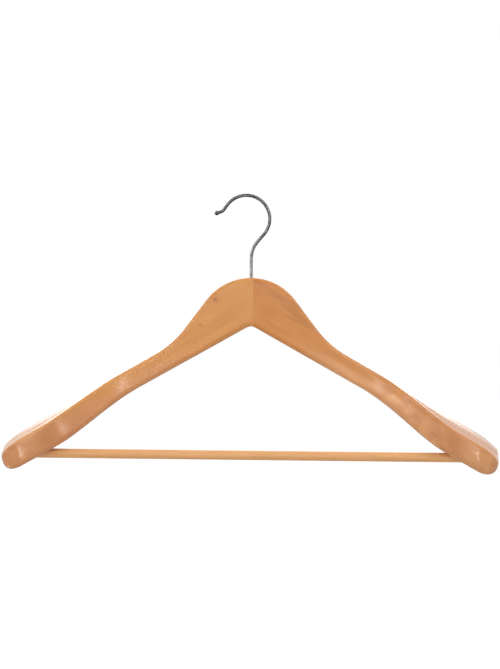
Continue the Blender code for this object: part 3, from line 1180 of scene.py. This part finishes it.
@dataclass
class Shoulder:
    """One half of the wood, drawn out through its sections and cut for its joint, hook, bar and brad."""

    side: Side
    wood: WoodForm
    neck: NeckForm
    brad: BradForm
    finish: WoodFinish
    crests: tuple[Crest, ...] = ()
    seam: float = 0.00006
    rim: float = 0.0005
    bar_clearance: float = 0.0002
    slot_heights: tuple[float, float] = (-0.1, 0.05)
    bore_start: float = -0.09
    recess_start: float = -0.008
    bore_steps: int = 48
    wide_bore_steps: int = 64
    near_surface: float = 0.0002
    same_surface: float = 0.00002
    same_way: float = 0.97

    def build(self) -> bpy.types.Object:
        """Builds and dresses the shoulder.

        Returns:
            The piece.
        """
        skin, surface = self.body()
        name = self.side.word + "_shoulder_board"
        piece = new_object(name, finished_mesh(name, skin.mesh))
        hollows = (self.finger_slots, self.shank_bore, self.nut_pocket, self.bar_socket, self.brad_hole)
        cut(piece, [hollow() for hollow in hollows])
        self.keep_shading(piece.data, surface)
        dress(piece, self.finish.material(), self.side.word + "_shoulder", Body.HANGER)
        return piece

    def body(self) -> tuple[Skin, bpy.types.Mesh]:
        """Draws the shoulder's skin out from its middle to its tip.

        Returns:
            The closed skin, and a mesh of it before it was closed.
        """
        skin = Skin(self.wood.ring_sides)
        start, *others = self.wood.stations(self.seam / 2 - self.wood.finger_reach)
        skin.place(self.section_points(start))
        for u in others:
            skin.draw_to(self.section_points(u))
        bmesh.ops.recalc_face_normals(skin.mesh, faces=skin.mesh.faces)
        open_mesh = bpy.data.meshes.new("open_shoulder")
        skin.mesh.to_mesh(open_mesh)
        skin.cap(skin.first)
        skin.cap(skin.ring)
        return skin, open_mesh

    def section_points(self, u: float) -> list[Vector]:
        """Puts a section in the row frame.

        Args:
            u: Distance from the middle.

        Returns:
            Its points.
        """
        section = self.wood.section(u)
        back = max(y for y, _ in section)
        depth = back - min(y for y, _ in section)
        points = []
        for y, z in section:
            rise = sum(crest.rise(u, z) for crest in self.crests) * ease(back - y, depth / 2, depth)
            points.append(from_swivel(self.side.value * u, y - rise, z))
        return points

    def finger_slots(self) -> bpy.types.Object:
        """The spaces for the other shoulder's fingers.

        Returns:
            The cutter.
        """
        bm = bmesh.new()
        band = self.wood.board_thickness / self.wood.finger_count
        reach = self.wood.finger_reach
        inner, outer = sorted((-self.side.value * 2 * reach, self.side.value * (reach + self.seam / 2)))
        last = self.wood.finger_count - 1
        for finger in range(1 if self.side is Side.LEFT else 0, self.wood.finger_count, 2):
            front = finger * band - self.wood.board_thickness / 2 - self.seam / 2
            back = front + band + self.seam
            front -= self.wood.board_thickness if finger == 0 else 0.0
            back += self.wood.board_thickness if finger == last else 0.0
            bottom, top = self.slot_heights
            low, high = Vector((inner, front, bottom)), Vector((outer, back, top))
            middle = Matrix.Translation(from_swivel() + (low + high) / 2)
            bmesh.ops.create_cube(bm, size=1.0, matrix=middle @ Matrix.Diagonal((*(high - low), 1.0)))
        return new_object("finger_slots", finished_mesh("finger_slots", bm))

    def shank_bore(self) -> bpy.types.Object:
        """The bore for the hook's shank, with a softened rim at the top.

        Returns:
            The cutter.
        """
        radius = self.neck.shank_radius + self.neck.shank_clearance
        outline = [
            (0.0, self.bore_start),
            (radius, self.bore_start),
            (radius, -self.rim),
            (radius + 2 * self.rim, self.rim),
            (0.0, self.rim),
        ]
        return turned("shank_bore", outline, self.bore_steps, Matrix.Translation(from_swivel()))

    def nut_pocket(self) -> bpy.types.Object:
        """The pocket under the neck for the washer and the nut.

        Returns:
            The cutter.
        """
        radius, seat = self.neck.washer_radius + self.neck.washer_clearance, self.neck.washer_seat()
        place = Matrix.Translation(from_swivel())
        return drill("nut_pocket", radius, self.bore_start, seat, self.wide_bore_steps, place)

    def bar_socket(self) -> bpy.types.Object:
        """The blind hole for the bar's end.

        Returns:
            The cutter.
        """
        radius, end = self.wood.bar_radius + self.bar_clearance, self.wood.bar_end + self.neck.gap
        place = self.wood.bar_place(self.side.value)
        return drill("bar_socket", radius, 0.0, end, self.wide_bore_steps, place)

    def brad_hole(self) -> bpy.types.Object:
        """The hole for the brad's shank and the recess for its head.

        Returns:
            The cutter.
        """
        clear, end = self.brad.clearance, self.brad.length() + self.brad.clearance
        shank, head = self.brad.shank_radius + clear, self.brad.head_radius + clear
        outline = [
            (0.0, self.recess_start),
            (head, self.recess_start),
            (head, clear),
            (shank, clear),
            (shank, end),
            (0.0, end),
        ]
        return turned("brad_hole", outline, self.brad.steps, self.brad.place(self.side))

    def keep_shading(self, mesh: bpy.types.Mesh, surface: bpy.types.Mesh) -> None:
        """Shades what is left of the skin as it was before it was cut, and removes the open mesh.

        Args:
            mesh: The cut mesh.
            surface: The open mesh of the skin.
        """
        bm = bmesh.new()
        bm.from_mesh(surface)
        bmesh.ops.triangulate(bm, faces=bm.faces)
        bm.normal_update()
        bm.faces.ensure_lookup_table()
        tree = BVHTree.FromBMesh(bm)
        normals = [corner.vector.copy() for corner in mesh.corner_normals]
        for face in mesh.polygons:
            _, way, _, away = tree.find_nearest(face.center)
            if away > self.near_surface or abs(way.dot(face.normal)) < self.same_way:
                continue
            for loop in face.loop_indices:
                spot = mesh.vertices[mesh.loops[loop].vertex_index].co
                near, _, index, away = tree.find_nearest(spot)
                if away < self.same_surface:
                    normals[loop] = self.skin_normal(bm.faces[index], near, face.normal)
        mesh.normals_split_custom_set(normals)
        bm.free()
        bpy.data.meshes.remove(surface)

    def skin_normal(self, face: bmesh.types.BMFace, spot: Vector, outwards: Vector) -> Vector:
        """Blends a triangle's vertex normals at a spot on it.

        Args:
            face: The triangle.
            spot: The spot.
            outwards: A direction on the outer side.

        Returns:
            The normal.
        """
        corners = [vert.co for vert in face.verts]
        sheet = (corners[1] - corners[0]).cross(corners[2] - corners[0])
        shares = []
        for i in range(3):
            one, two = corners[(i + 1) % 3], corners[(i + 2) % 3]
            shares.append(max(0.0, (one - spot).cross(two - spot).dot(sheet)))
        normal = Vector()
        for share, vert in zip(shares, face.verts):
            normal += share * vert.normal
        return normal.normalized() * (1 if normal.dot(outwards) > 0 else -1)


@dataclass
class TrouserBar:
    """The round bar between the shoulders, with eased ends, drilled for its brads."""

    wood: WoodForm
    brad: BradForm
    finish: WoodFinish
    end_ease: float = 0.0006
    ring_spacing: float = 0.012
    steps: int = 48
    hole_start: float = -0.004

    def build(self) -> bpy.types.Object:
        """Builds and dresses the bar.

        Returns:
            The piece.
        """
        radius, end = self.wood.bar_radius, self.wood.bar_end
        wall_end, eased = end - self.end_ease, radius - self.end_ease
        count = round(2 * wall_end / self.ring_spacing)
        wall = [(radius, -wall_end + 2 * wall_end * step / count) for step in range(count + 1)]
        outline = [(0.0, -end), (eased, -end), *wall, (eased, end), (0.0, end)]
        piece = turned("trouser_bar_dowel", outline, self.steps, self.wood.bar_place(1))
        cut(piece, [self.brad_hole(side) for side in Side])
        dress(piece, self.finish.material(), "trouser_bar", Body.HANGER)
        return piece

    def brad_hole(self, side: Side) -> bpy.types.Object:
        """The hole for a brad's shank.

        Args:
            side: The shoulder that the brad is in.

        Returns:
            The cutter.
        """
        name, brad = "bar_hole_" + side.word, self.brad
        radius = brad.shank_radius + brad.clearance
        return drill(name, radius, self.hole_start, brad.length(), brad.steps, brad.place(side))


@dataclass
class Brad:
    """A brad driven up through a shoulder's underside and the bar, with a dished head."""

    side: Side
    form: BradForm
    finish: MetalFinish
    head_ease: float = 0.00018
    under_ease: float = 0.000072
    # Shares of the head's radius, each with its share of the dish's depth
    dish: tuple[tuple[float, float], ...] = ((0.0, 1.0), (0.35, 0.8), (0.62, 0.2))

    def build(self) -> bpy.types.Object:
        """Builds and dresses the brad.

        Returns:
            The piece.
        """
        form, low, length = self.form, -self.form.head_thickness, self.form.length()
        head, shank = form.head_radius, form.shank_radius
        outline = [
            *((head * out, low + form.head_dish * deep) for out, deep in self.dish),
            *eased_edge(head, low, self.head_ease, 1),
            (head, -self.under_ease),
            (head - self.under_ease, 0.0),
            (shank + self.head_ease, 0.0),
            (shank, self.head_ease),
            (shank, length - form.point_length),
            (0.0, length),
        ]
        piece = turned(self.side.word + "_bar_brad", outline, form.steps, form.place(self.side))
        dress(piece, self.finish.material(), "bar_nail_" + self.side.word, Body.HANGER)
        return piece


# Hook


@dataclass
class Thread:
    """A fine metric thread, cut into the foot of the shank and into the nut."""

    pitch: float = 0.0005
    depth: float = 0.00028
    flank: float = 1.25
    steps: int = 8

    def cut_at(self, height: float, turn: float) -> float:
        """How deep the thread is at a height and a turn.

        Args:
            height: The height in metres.
            turn: The share of a full turn.

        Returns:
            The depth below the crest.
        """
        share = (height / self.pitch - turn) % 1.0
        return self.depth * min(1.0, self.flank * (1 - abs(2 * share - 1)))


@dataclass
class Hook:
    """The wire hook: a straight shank with a threaded foot, an open round hook and a ball on its tip."""

    neck: NeckForm
    finish: MetalFinish
    thread: Thread = field(default_factory=Thread)
    hook_radius: float = 0.0215
    neck_lean: float = 40.5
    neck_bend: float = 0.0233
    bend_share: float = 0.9
    mouth_angle: float = 53.3
    lip_run: float = 0.0056
    lip_bend: float = 0.006
    lip_turn: float = 37.3
    lip_end: float = 0.0034
    ball_radius: float = 0.0021
    ball_rings: int = 14
    ball_start: float = 6.0
    throat_length: float = 0.0005
    bulge_at: float = 0.00032
    bulge: float = 1.03
    foot_inset: float = 0.00006
    foot_slope: float = 0.8
    threaded: float = 0.0062
    thread_fade: float = 0.25
    sides: int = 32
    arc_step: float = 3.0
    shank_rings: int = 12
    lean_rings: int = 4
    sharp_angle: float = 50.0
    skin: Skin = field(init=False)
    last: Vector = field(init=False)
    along: float = field(init=False, default=0.0)

    def build(self) -> bpy.types.Object:
        """Builds and dresses the hook.

        Returns:
            The piece.
        """
        self.skin = Skin(self.sides, SKIN_PLACE)
        self.shank()
        self.ball(self.bends())
        name = "hook_wire_bent"
        piece = new_object(name, finished_mesh(name, self.skin.mesh, self.sharp_angle))
        dress(piece, self.finish.material(), "hook", Body.HOOK)
        return piece

    def note(self) -> None:
        """Notes each vertex's place on the straightened wire, for the marks that drawing leaves on it."""
        radius = self.neck.shank_radius
        for i, vert in enumerate(self.skin.ring):
            turn = math.tau * i / self.sides
            vert[self.skin.layer] = (self.along, math.cos(turn) * radius, math.sin(turn) * radius)

    def circle(self, centre: Vector, way: Vector, radii: Callable[[float], float]) -> list[Vector]:
        """Places a ring square to the wire.

        Args:
            centre: The ring's centre.
            way: The wire's direction.
            radii: The radius for each share of a turn.

        Returns:
            The ring's points.
        """
        side = Vector((0.0, 1.0, 0.0))
        up = way.cross(side)
        points = []
        for i in range(self.sides):
            turn = i / self.sides
            out = math.cos(math.tau * turn) * up + math.sin(math.tau * turn) * side
            points.append(centre + radii(turn) * out)
        return points

    def advance(self, centre: Vector, way: Vector, radius: float) -> None:
        """Draws the wire on to a ring.

        Args:
            centre: The ring's centre.
            way: The wire's direction.
            radius: Its radius.
        """
        self.along += (centre - self.last).length
        self.last = centre
        self.skin.draw_to(self.circle(centre, way, lambda _: radius))
        self.note()

    def shank(self) -> None:
        """Draws the threaded foot and the straight shank."""
        radius = self.neck.shank_radius
        foot = from_swivel(z=self.neck.foot())
        small = radius - self.thread.depth - self.foot_inset
        self.skin.place(self.circle(foot, UP, lambda _: small))
        self.note()
        self.skin.cap(self.skin.ring)
        count = round(self.threaded / self.thread.pitch * self.thread.steps)
        for step in range(1, count + 1):
            height = self.threaded * step / count
            self.along = height
            fade = min(1.0, (1 - step / count) / self.thread_fade)
            limit = small + height * self.foot_slope

            def thread_radius(turn: float) -> float:
                """The thread's radius at a share of a turn."""
                return min(limit, radius - fade * self.thread.cut_at(foot.z + height, turn))

            self.skin.draw_to(self.circle(foot + UP * height, UP, thread_radius))
            self.note()
        self.last = foot + UP * self.threaded

    def bends(self) -> Vector:
        """Bends the wire from the shank's top to the lip, back along the hook's centreline.

        Returns:
            The wire's direction at the lip.
        """
        wire = self.neck.shank_radius
        centre = Vector((0.0, 0.0, wire - self.hook_radius))
        lean, mouth = self.neck_lean, 90 + self.mouth_angle
        half_tangent = math.tan(math.radians(lean / 2))
        neck_start = centre + self.hook_radius * upright_heading(-lean)
        run = (neck_start.x - from_swivel().x) / math.sin(math.radians(lean))
        tangent = min(self.bend_share * run, self.neck_bend * half_tangent)
        bend_start = neck_start + (run - tangent) * upright_heading(270 - lean)
        bend_radius = tangent / half_tangent
        bend_centre = bend_start + bend_radius * upright_heading(-lean)
        shank_top = bend_centre + bend_radius * upright_heading(180)
        straight = shank_top.z - self.last.z
        for step in range(1, self.shank_rings + 1):
            height = shank_top.z - straight * (1 - step / self.shank_rings)
            self.advance(Vector((shank_top.x, 0.0, height)), UP, wire)
        self.arc(bend_centre, bend_radius, 180.0, 180.0 - lean)
        for step in range(1, self.lean_rings):
            place = bend_start.lerp(neck_start, step / self.lean_rings)
            self.advance(place, upright_heading(90 - lean), wire)
        self.arc(centre, self.hook_radius, -lean, mouth, True)
        along_lip = upright_heading(90 + mouth)
        lip_start = centre + self.hook_radius * upright_heading(mouth) + self.lip_run * along_lip
        self.advance(lip_start, along_lip, wire)
        lip_centre = lip_start + self.lip_bend * upright_heading(mouth)
        self.arc(lip_centre, self.lip_bend, mouth - 180, mouth - 180 - self.lip_turn)
        return upright_heading(90 + mouth - self.lip_turn)

    def arc(self, centre: Vector, radius: float, start: float, end: float, with_start: bool = False) -> None:
        """Draws the wire on round an arc in the hook's plane.

        Args:
            centre: The arc's centre.
            radius: Its radius.
            start: The angle above +X at which it starts.
            end: The angle at which it ends.
            with_start: Whether a ring stands at its start too.
        """
        count = max(3, math.ceil(abs(end - start) / self.arc_step))
        turn = 90.0 if end > start else -90.0
        for step in range(0 if with_start else 1, count + 1):
            angle = start + (end - start) * step / count
            place = centre + radius * upright_heading(angle)
            self.advance(place, upright_heading(angle + turn), self.neck.shank_radius)

    def ball(self, way: Vector) -> None:
        """Forms the ball on the wire's tip, with a small throat before it.

        Args:
            way: The wire's direction at the lip.
        """
        wire, ball = self.neck.shank_radius, self.ball_radius
        middle = self.last + self.lip_end * way
        meeting = math.degrees(math.asin(wire / ball))
        throat = middle - way * (ball * math.cos(math.radians(meeting)) + self.throat_length)
        self.advance(throat, way, wire)
        self.advance(throat + way * self.bulge_at, way, wire * self.bulge)
        start = meeting + self.ball_start
        for step in range(1, self.ball_rings):
            angle = math.radians(start + (180 - start) * step / self.ball_rings)
            self.advance(middle - way * ball * math.cos(angle), way, ball * math.sin(angle))
        self.skin.cap(self.skin.ring)


@dataclass
class Washer:
    """The pressed washer that carries the neck on the nut."""

    neck: NeckForm
    finish: MetalFinish
    hole_radius: float = 0.0017
    corner: float = 0.00016
    steps: int = 64

    def build(self) -> bpy.types.Object:
        """Builds and dresses the washer.

        Returns:
            The piece.
        """
        inner, outer, low = self.hole_radius, self.neck.washer_radius, -self.neck.washer_thickness
        burr = self.corner / 2
        outline = [
            (inner, -burr),
            (inner + burr, 0.0),
            *eased_edge(outer, 0.0, self.corner, -1),
            *reversed(eased_edge(outer, low, self.corner, 1)),
            (inner + burr, low),
            (inner, low + burr),
            (inner, -burr),
        ]
        top = Matrix.Translation(from_swivel(z=self.neck.washer_top()))
        piece = turned("hook_washer_plate", outline, self.steps, top)
        dress(piece, self.finish.material(), "hook_washer", Body.HOOK)
        return piece


@dataclass
class Nut:
    """The hexagonal nut, chamfered on both faces and threaded."""

    neck: NeckForm
    finish: MetalFinish
    thread: Thread = field(default_factory=Thread)
    flats: int = 6
    side_steps: int = 8
    clearance: float = 0.00003
    mouth_ease: float = 0.00012
    chamfer_angle: float = 30.0
    chamfer_circle: float = 0.93
    thread_share: float = 0.6
    thread_lead: int = 3
    sharp_angle: float = 24.0

    @property
    def flat(self) -> float:
        """Distance from the axis to a flat."""
        return self.neck.nut_width / 2

    @property
    def headings(self) -> list[float]:
        """The angles of a ring's points."""
        count = self.flats * self.side_steps
        return [360.0 * i / count for i in range(count)]

    def build(self) -> bpy.types.Object:
        """Builds and dresses the nut, ring by ring from its bore round its faces and back.

        Returns:
            The piece.
        """
        thick, face = self.neck.nut_thickness, self.flat * self.chamfer_circle
        crest = self.neck.shank_radius + self.clearance
        mouth = crest + self.mouth_ease
        skin = Skin(len(self.headings))
        skin.place(self.ring(lambda _: mouth, 0.0))
        skin.draw_to(self.ring(lambda _: face, 0.0))
        skin.draw_to(self.hexagon(0.0, -1.0))
        skin.draw_to(self.hexagon(-thick, 1.0))
        skin.draw_to(self.ring(lambda _: face, -thick))
        skin.draw_to(self.ring(lambda _: mouth, -thick))
        count = round(thick / self.thread.pitch * self.thread.steps)
        low = from_swivel().z + self.neck.nut_top() - thick
        for step in range(1, count):
            height = thick * step / count
            full = self.thread_share * ease(min(step, count - step), 0, self.thread_lead)

            def bore_radius(turn: float) -> float:
                """The thread's radius at a share of a turn."""
                return crest - full * self.thread.cut_at(low + height, turn)

            skin.draw_to(self.ring(bore_radius, height - thick))
        skin.close_on_itself()
        name = "hook_nut_hexagon"
        piece = new_object(name, finished_mesh(name, skin.mesh, self.sharp_angle))
        dress(piece, self.finish.material(), "hook_nut", Body.HOOK)
        return piece

    def ring(self, radii: Callable[[float], float], height: float) -> list[Vector]:
        """Places a round ring.

        Args:
            radii: The radius for each share of a turn.
            height: Its height from the nut's top.

        Returns:
            Its points.
        """
        top = from_swivel(z=self.neck.nut_top() + height)
        return [top + radii(turn / 360.0) * level_heading(turn) for turn in self.headings]

    def hexagon(self, height: float, way: float) -> list[Vector]:
        """Places a ring on the hexagon, lowered to the chamfer's cone.

        Args:
            height: The height of the face from the nut's top.
            way: 1 where the chamfer goes up from the face, -1 where it goes down.

        Returns:
            Its points.
        """
        points, flat_turn = [], 360.0 / self.flats
        for turn in self.headings:
            off = (turn + flat_turn / 2) % flat_turn - flat_turn / 2
            radius = self.flat / math.cos(math.radians(off))
            drop = (radius - self.flat * self.chamfer_circle) * math.tan(math.radians(self.chamfer_angle))
            centre = from_swivel(z=self.neck.nut_top() + height + way * drop)
            points.append(centre + radius * level_heading(turn))
        return points


# Studio


@dataclass(frozen=True)
class Lamp:
    """A soft area lamp that looks at the hanger's middle."""

    name: str
    azimuth: float
    elevation: float
    distance: float
    size: tuple[float, float]
    power: float
    mirrored: bool = True

    def hang(self) -> None:
        """Hangs the lamp."""
        data = bpy.data.lights.new(self.name, "AREA")
        data.shape = "RECTANGLE"
        data.size, data.size_y = self.size
        data.energy = self.power
        rise = math.radians(self.elevation)
        away = Vector((0.0, 0.0, math.sin(rise))) + math.cos(rise) * level_heading(self.azimuth - 90.0)
        middle = (CAD_BOX[0] + CAD_BOX[1]) / 2
        facing = away.to_track_quat("Z", "Y").to_matrix().to_4x4()
        light = new_object(self.name, data)
        light.matrix_world = Matrix.Translation(middle + self.distance * away) @ facing
        light.visible_camera = False
        light.visible_glossy = self.mirrored


@dataclass
class Studio:
    """The camera, the lamps, the white surroundings and the floor."""

    view_azimuth: float = 4.0
    view_distance: float = 1.5
    view_height: float = -0.0515
    focal_pixels: float = 1644.0
    sensor: float = 36.0
    middle_column: float = 250.9
    middle_row: float = 334.4
    roll: float = 0.35
    floor_drop: float = 0.21
    floor_size: float = 14.0
    floor_tone: float = 0.80
    floor_glow: float = 0.42
    lamps: tuple[Lamp, ...] = (
        Lamp("front_box", -3.0, 10.0, 1.5, (0.50, 0.24), 1.8),
        Lamp("left_strip", -36.0, 26.0, 1.5, (1.2, 0.20), 2.6),
        Lamp("high_fill", 0.0, 30.0, 1.8, (1.1, 0.9), 5.2, False),
        Lamp("low_fill", 0.0, -26.0, 1.8, (1.1, 0.7), 9.3, False),
        Lamp("upper_left_card", -71.0, 18.0, 1.5, (0.50, 0.44), 3.6),
        Lamp("upper_right_card", 62.0, 30.0, 1.5, (0.50, 0.50), 2.6),
        Lamp("right_low_card", 59.0, -18.0, 1.4, (0.26, 0.17), 1.2),
        Lamp("left_low_card", -102.0, -42.0, 1.4, (0.40, 0.30), 1.2),
        Lamp("low_spark", -6.3, -33.5, 1.4, (0.18, 0.30), 2.2),
        Lamp("top_panel", 60.0, 48.0, 1.5, (1.2, 0.5), 2.5),
        Lamp("back_panel", -175.3, 16.0, 1.5, (1.3, 0.46), 5.0),
    )
    sun_tilt: float = 12.0
    sun_spread: float = 55.0
    sun_strength: float = 0.9
    sky_above: float = 0.52
    sky_below: float = 0.25
    front_shade: float = 0.10
    front_band: float = 0.38
    band_edge: tuple[float, float] = (0.06, 0.36)
    white_behind: tuple[float, float] = (-0.25, 0.70)
    white_above: tuple[float, float] = (-0.35, 0.0)
    white_below: float = 0.30

    def build(self) -> None:
        """Sets up everything that isn't part of the hanger."""
        self.camera()
        for lamp in self.lamps:
            lamp.hang()
        self.sun()
        self.surroundings()
        self.floor()
        bpy.context.scene.view_settings.view_transform = "Standard"

    def camera(self) -> None:
        """Places the camera where the picture was taken from."""
        data = bpy.data.cameras.new("camera")
        longest = max(PICTURE_WIDTH, PICTURE_HEIGHT)
        data.sensor_width = self.sensor
        data.lens = self.sensor * self.focal_pixels / longest
        data.shift_x = (PICTURE_WIDTH / 2 - self.middle_column) / longest
        data.shift_y = (self.middle_row - PICTURE_HEIGHT / 2) / longest
        eye = new_object("camera", data)
        away, right = level_heading(self.view_azimuth - 90.0), level_heading(self.view_azimuth)
        facing = Matrix((right, UP, away)).transposed().to_4x4()
        place = Matrix.Translation(from_swivel(z=self.view_height) + self.view_distance * away)
        eye.matrix_world = place @ facing @ Matrix.Rotation(math.radians(self.roll), 4, "Z")
        bpy.context.scene.camera = eye

    def sun(self) -> None:
        """Hangs a wide soft sun above, which lights the floor evenly to its far edge."""
        data = bpy.data.lights.new("soft_sun", "SUN")
        data.angle = math.radians(self.sun_spread)
        data.energy = self.sun_strength
        light = new_object("soft_sun", data)
        light.rotation_euler = (math.radians(self.sun_tilt), 0.0, 0.0)
        light.visible_glossy = False

    def surroundings(self) -> None:
        """Makes the world: white to the eye, in gloss white behind and shaded in front, softer as light."""
        world = bpy.data.worlds.new("studio")
        bpy.context.scene.world = world
        desk = Desk(world)
        _, depth, height = desk.parts(desk.add("ShaderNodeTexCoord").outputs["Generated"])
        spread = {"Value": height, "From Min": -1.0, "To Min": self.sky_below, "To Max": self.sky_above}
        light = desk.add("ShaderNodeMapRange", spread).outputs["Result"]
        behind = desk.between(depth, *self.white_behind)
        behind = desk.share_of(behind, desk.between(height, *self.white_above, self.white_below))
        slant = desk.reckon("ABSOLUTE", height)
        ahead = desk.between(slant, *self.band_edge, self.front_band, self.front_shade)
        gloss = desk.reckon("MAXIMUM", behind, ahead)
        rays = desk.add("ShaderNodeLightPath").outputs
        for ray, seen in (("Is Glossy Ray", gloss), ("Is Transmission Ray", 1.0), ("Is Camera Ray", 1.0)):
            inputs = {"Factor": rays[ray], "A": light, "B": seen}
            light = desk.add("ShaderNodeMix", inputs, data_type="FLOAT").outputs[0]
        desk.give({"Color": light, "Strength": 1.0})

    def floor(self) -> None:
        """Lays a pale floor under the hanger, which keeps its shadow."""
        bm = bmesh.new()
        bmesh.ops.create_grid(bm, x_segments=1, y_segments=1, size=self.floor_size / 2)
        bmesh.ops.translate(bm, verts=bm.verts, vec=(0.0, 0.0, CAD_BOX[0].z - self.floor_drop))
        ground = new_object("studio_floor", finished_mesh("studio_floor", bm))
        desk = Desk(bpy.data.materials.new("pale_floor"))
        desk.give({
            "Base Color": (self.floor_tone, self.floor_tone, self.floor_tone, 1.0),
            "Roughness": 1.0,
            "Specular IOR Level": 0.0,
            "Emission Color": (1.0, 1.0, 1.0, 1.0),
            "Emission Strength": desk.share_of(desk.seen_directly(), self.floor_glow),
        })
        ground.data.materials.append(desk.owner)
        ground.visible_glossy = False


# Finishes

LEFT_WOOD = WoodFinish(
    name="lacquered_wood_left",
    pale=(0.622, 0.273, 0.069),
    deep=(0.436, 0.157, 0.036),
    ruddy=(0.532, 0.192, 0.055),
    # Painted sheen on the lower band of the shoulder
    tip_sheen_tint=(1.00, 0.99, 1.40),
    sheen_edge=-0.0904,
    grain_turn=29.8,
    ring_centre=(0.085, -0.060),
    ring_share=0.12,
    knots_and_shade=(
        KnotOrShade(-0.0321, -0.0200, 0.0032, 0.60, 0.60),
        KnotOrShade(-0.0456, -0.0434, 0.0018, 0.50, 0.50),
        # Heartless patch on the left flare: painted shade where its front turns down
        KnotOrShade(-0.1774, -0.1464, 0.0065, 0.0, 0.40),
    ),
)
RIGHT_WOOD = WoodFinish(
    name="lacquered_wood_right",
    pale=(0.576, 0.229, 0.051),
    deep=(0.376, 0.118, 0.023),
    ruddy=(0.496, 0.162, 0.039),
    # Painted sheen on the lower band of the shoulder, stronger and bluer
    tip_sheen_tint=(1.17, 1.40, 2.45),
    sheen_edge=-0.0855,
    streak_share=0.55,
    knots_and_shade=(
        KnotOrShade(0.0060, -0.0125, 0.0035, 0.0, 0.55),
        KnotOrShade(0.0150, -0.0330, 0.0040, 0.0, 0.50),
        # Heartless patch on the right flare: painted shade where its front turns down
        KnotOrShade(0.1809, -0.1451, 0.0080, 0.0, 0.50),
    ),
    grain_turn=-29.8,
    ring_centre=(0.060, -0.075),
    ring_share=0.26,
)
LEFT_CRESTS = (Crest(u=0.1994, z=-0.1650, height=0.0010, half_length=0.0145, half_width=0.0135),)
RIGHT_CRESTS = (
    Crest(u=0.2040, z=-0.1645, height=0.0010, half_length=0.0135, half_width=0.0130),
    Crest(0.1372, -0.1168, height=0.00036, half_length=0.0255, half_width=0.005, slant=math.radians(-41.3)),
)
BAR_WOOD = WoodFinish(
    name="waxed_bar_wood",
    pale=(0.700, 0.360, 0.140),
    deep=(0.520, 0.230, 0.075),
    ruddy=(0.620, 0.280, 0.100),
    grain_turn=0.0,
    ring_centre=(0.030, 0.150),
    ring_width=0.0038,
    lacquer=0.35,
)
HOOK_STEEL = MetalFinish(
    name="drawn_bright_steel",
    colour=(0.31, 0.31, 0.32),
    dull=(0.24, 0.24, 0.25),
    roughness=0.40,
    marks=Figure((90.0, 9000.0, 9000.0), roughness=0.6),
    # Paler colour on the straight shank: a painted reflection
    foot=(0.66, 0.66, 0.67),
)
ZINC = MetalFinish(
    name="zinc_plate_blue_bright",
    colour=(0.60, 0.62, 0.65),
    dull=(0.44, 0.45, 0.46),
    roughness=0.30,
    marks=Figure((1500.0, 1500.0, 6000.0), roughness=0.6),
)


def main() -> None:
    """Builds the hanger's pieces in order, and then the studio round it."""
    logging.basicConfig(level=logging.INFO, format="%(name)s: %(message)s")
    wood = WoodForm()
    neck, brad = NeckForm(wood), BradForm(wood)
    parts = [
        Shoulder(Side.LEFT, wood, neck, brad, LEFT_WOOD, LEFT_CRESTS),
        Shoulder(Side.RIGHT, wood, neck, brad, RIGHT_WOOD, RIGHT_CRESTS),
        TrouserBar(wood, brad, BAR_WOOD),
        Brad(Side.LEFT, brad, ZINC),
        Brad(Side.RIGHT, brad, ZINC),
        Hook(neck, HOOK_STEEL),
        Washer(neck, ZINC),
        Nut(neck, ZINC),
    ]
    for part in parts:
        piece = part.build()
        LOG.info("%s: %d faces", piece.name, len(piece.data.polygons))
    Studio().build()


if __name__ == "__main__":
    main()
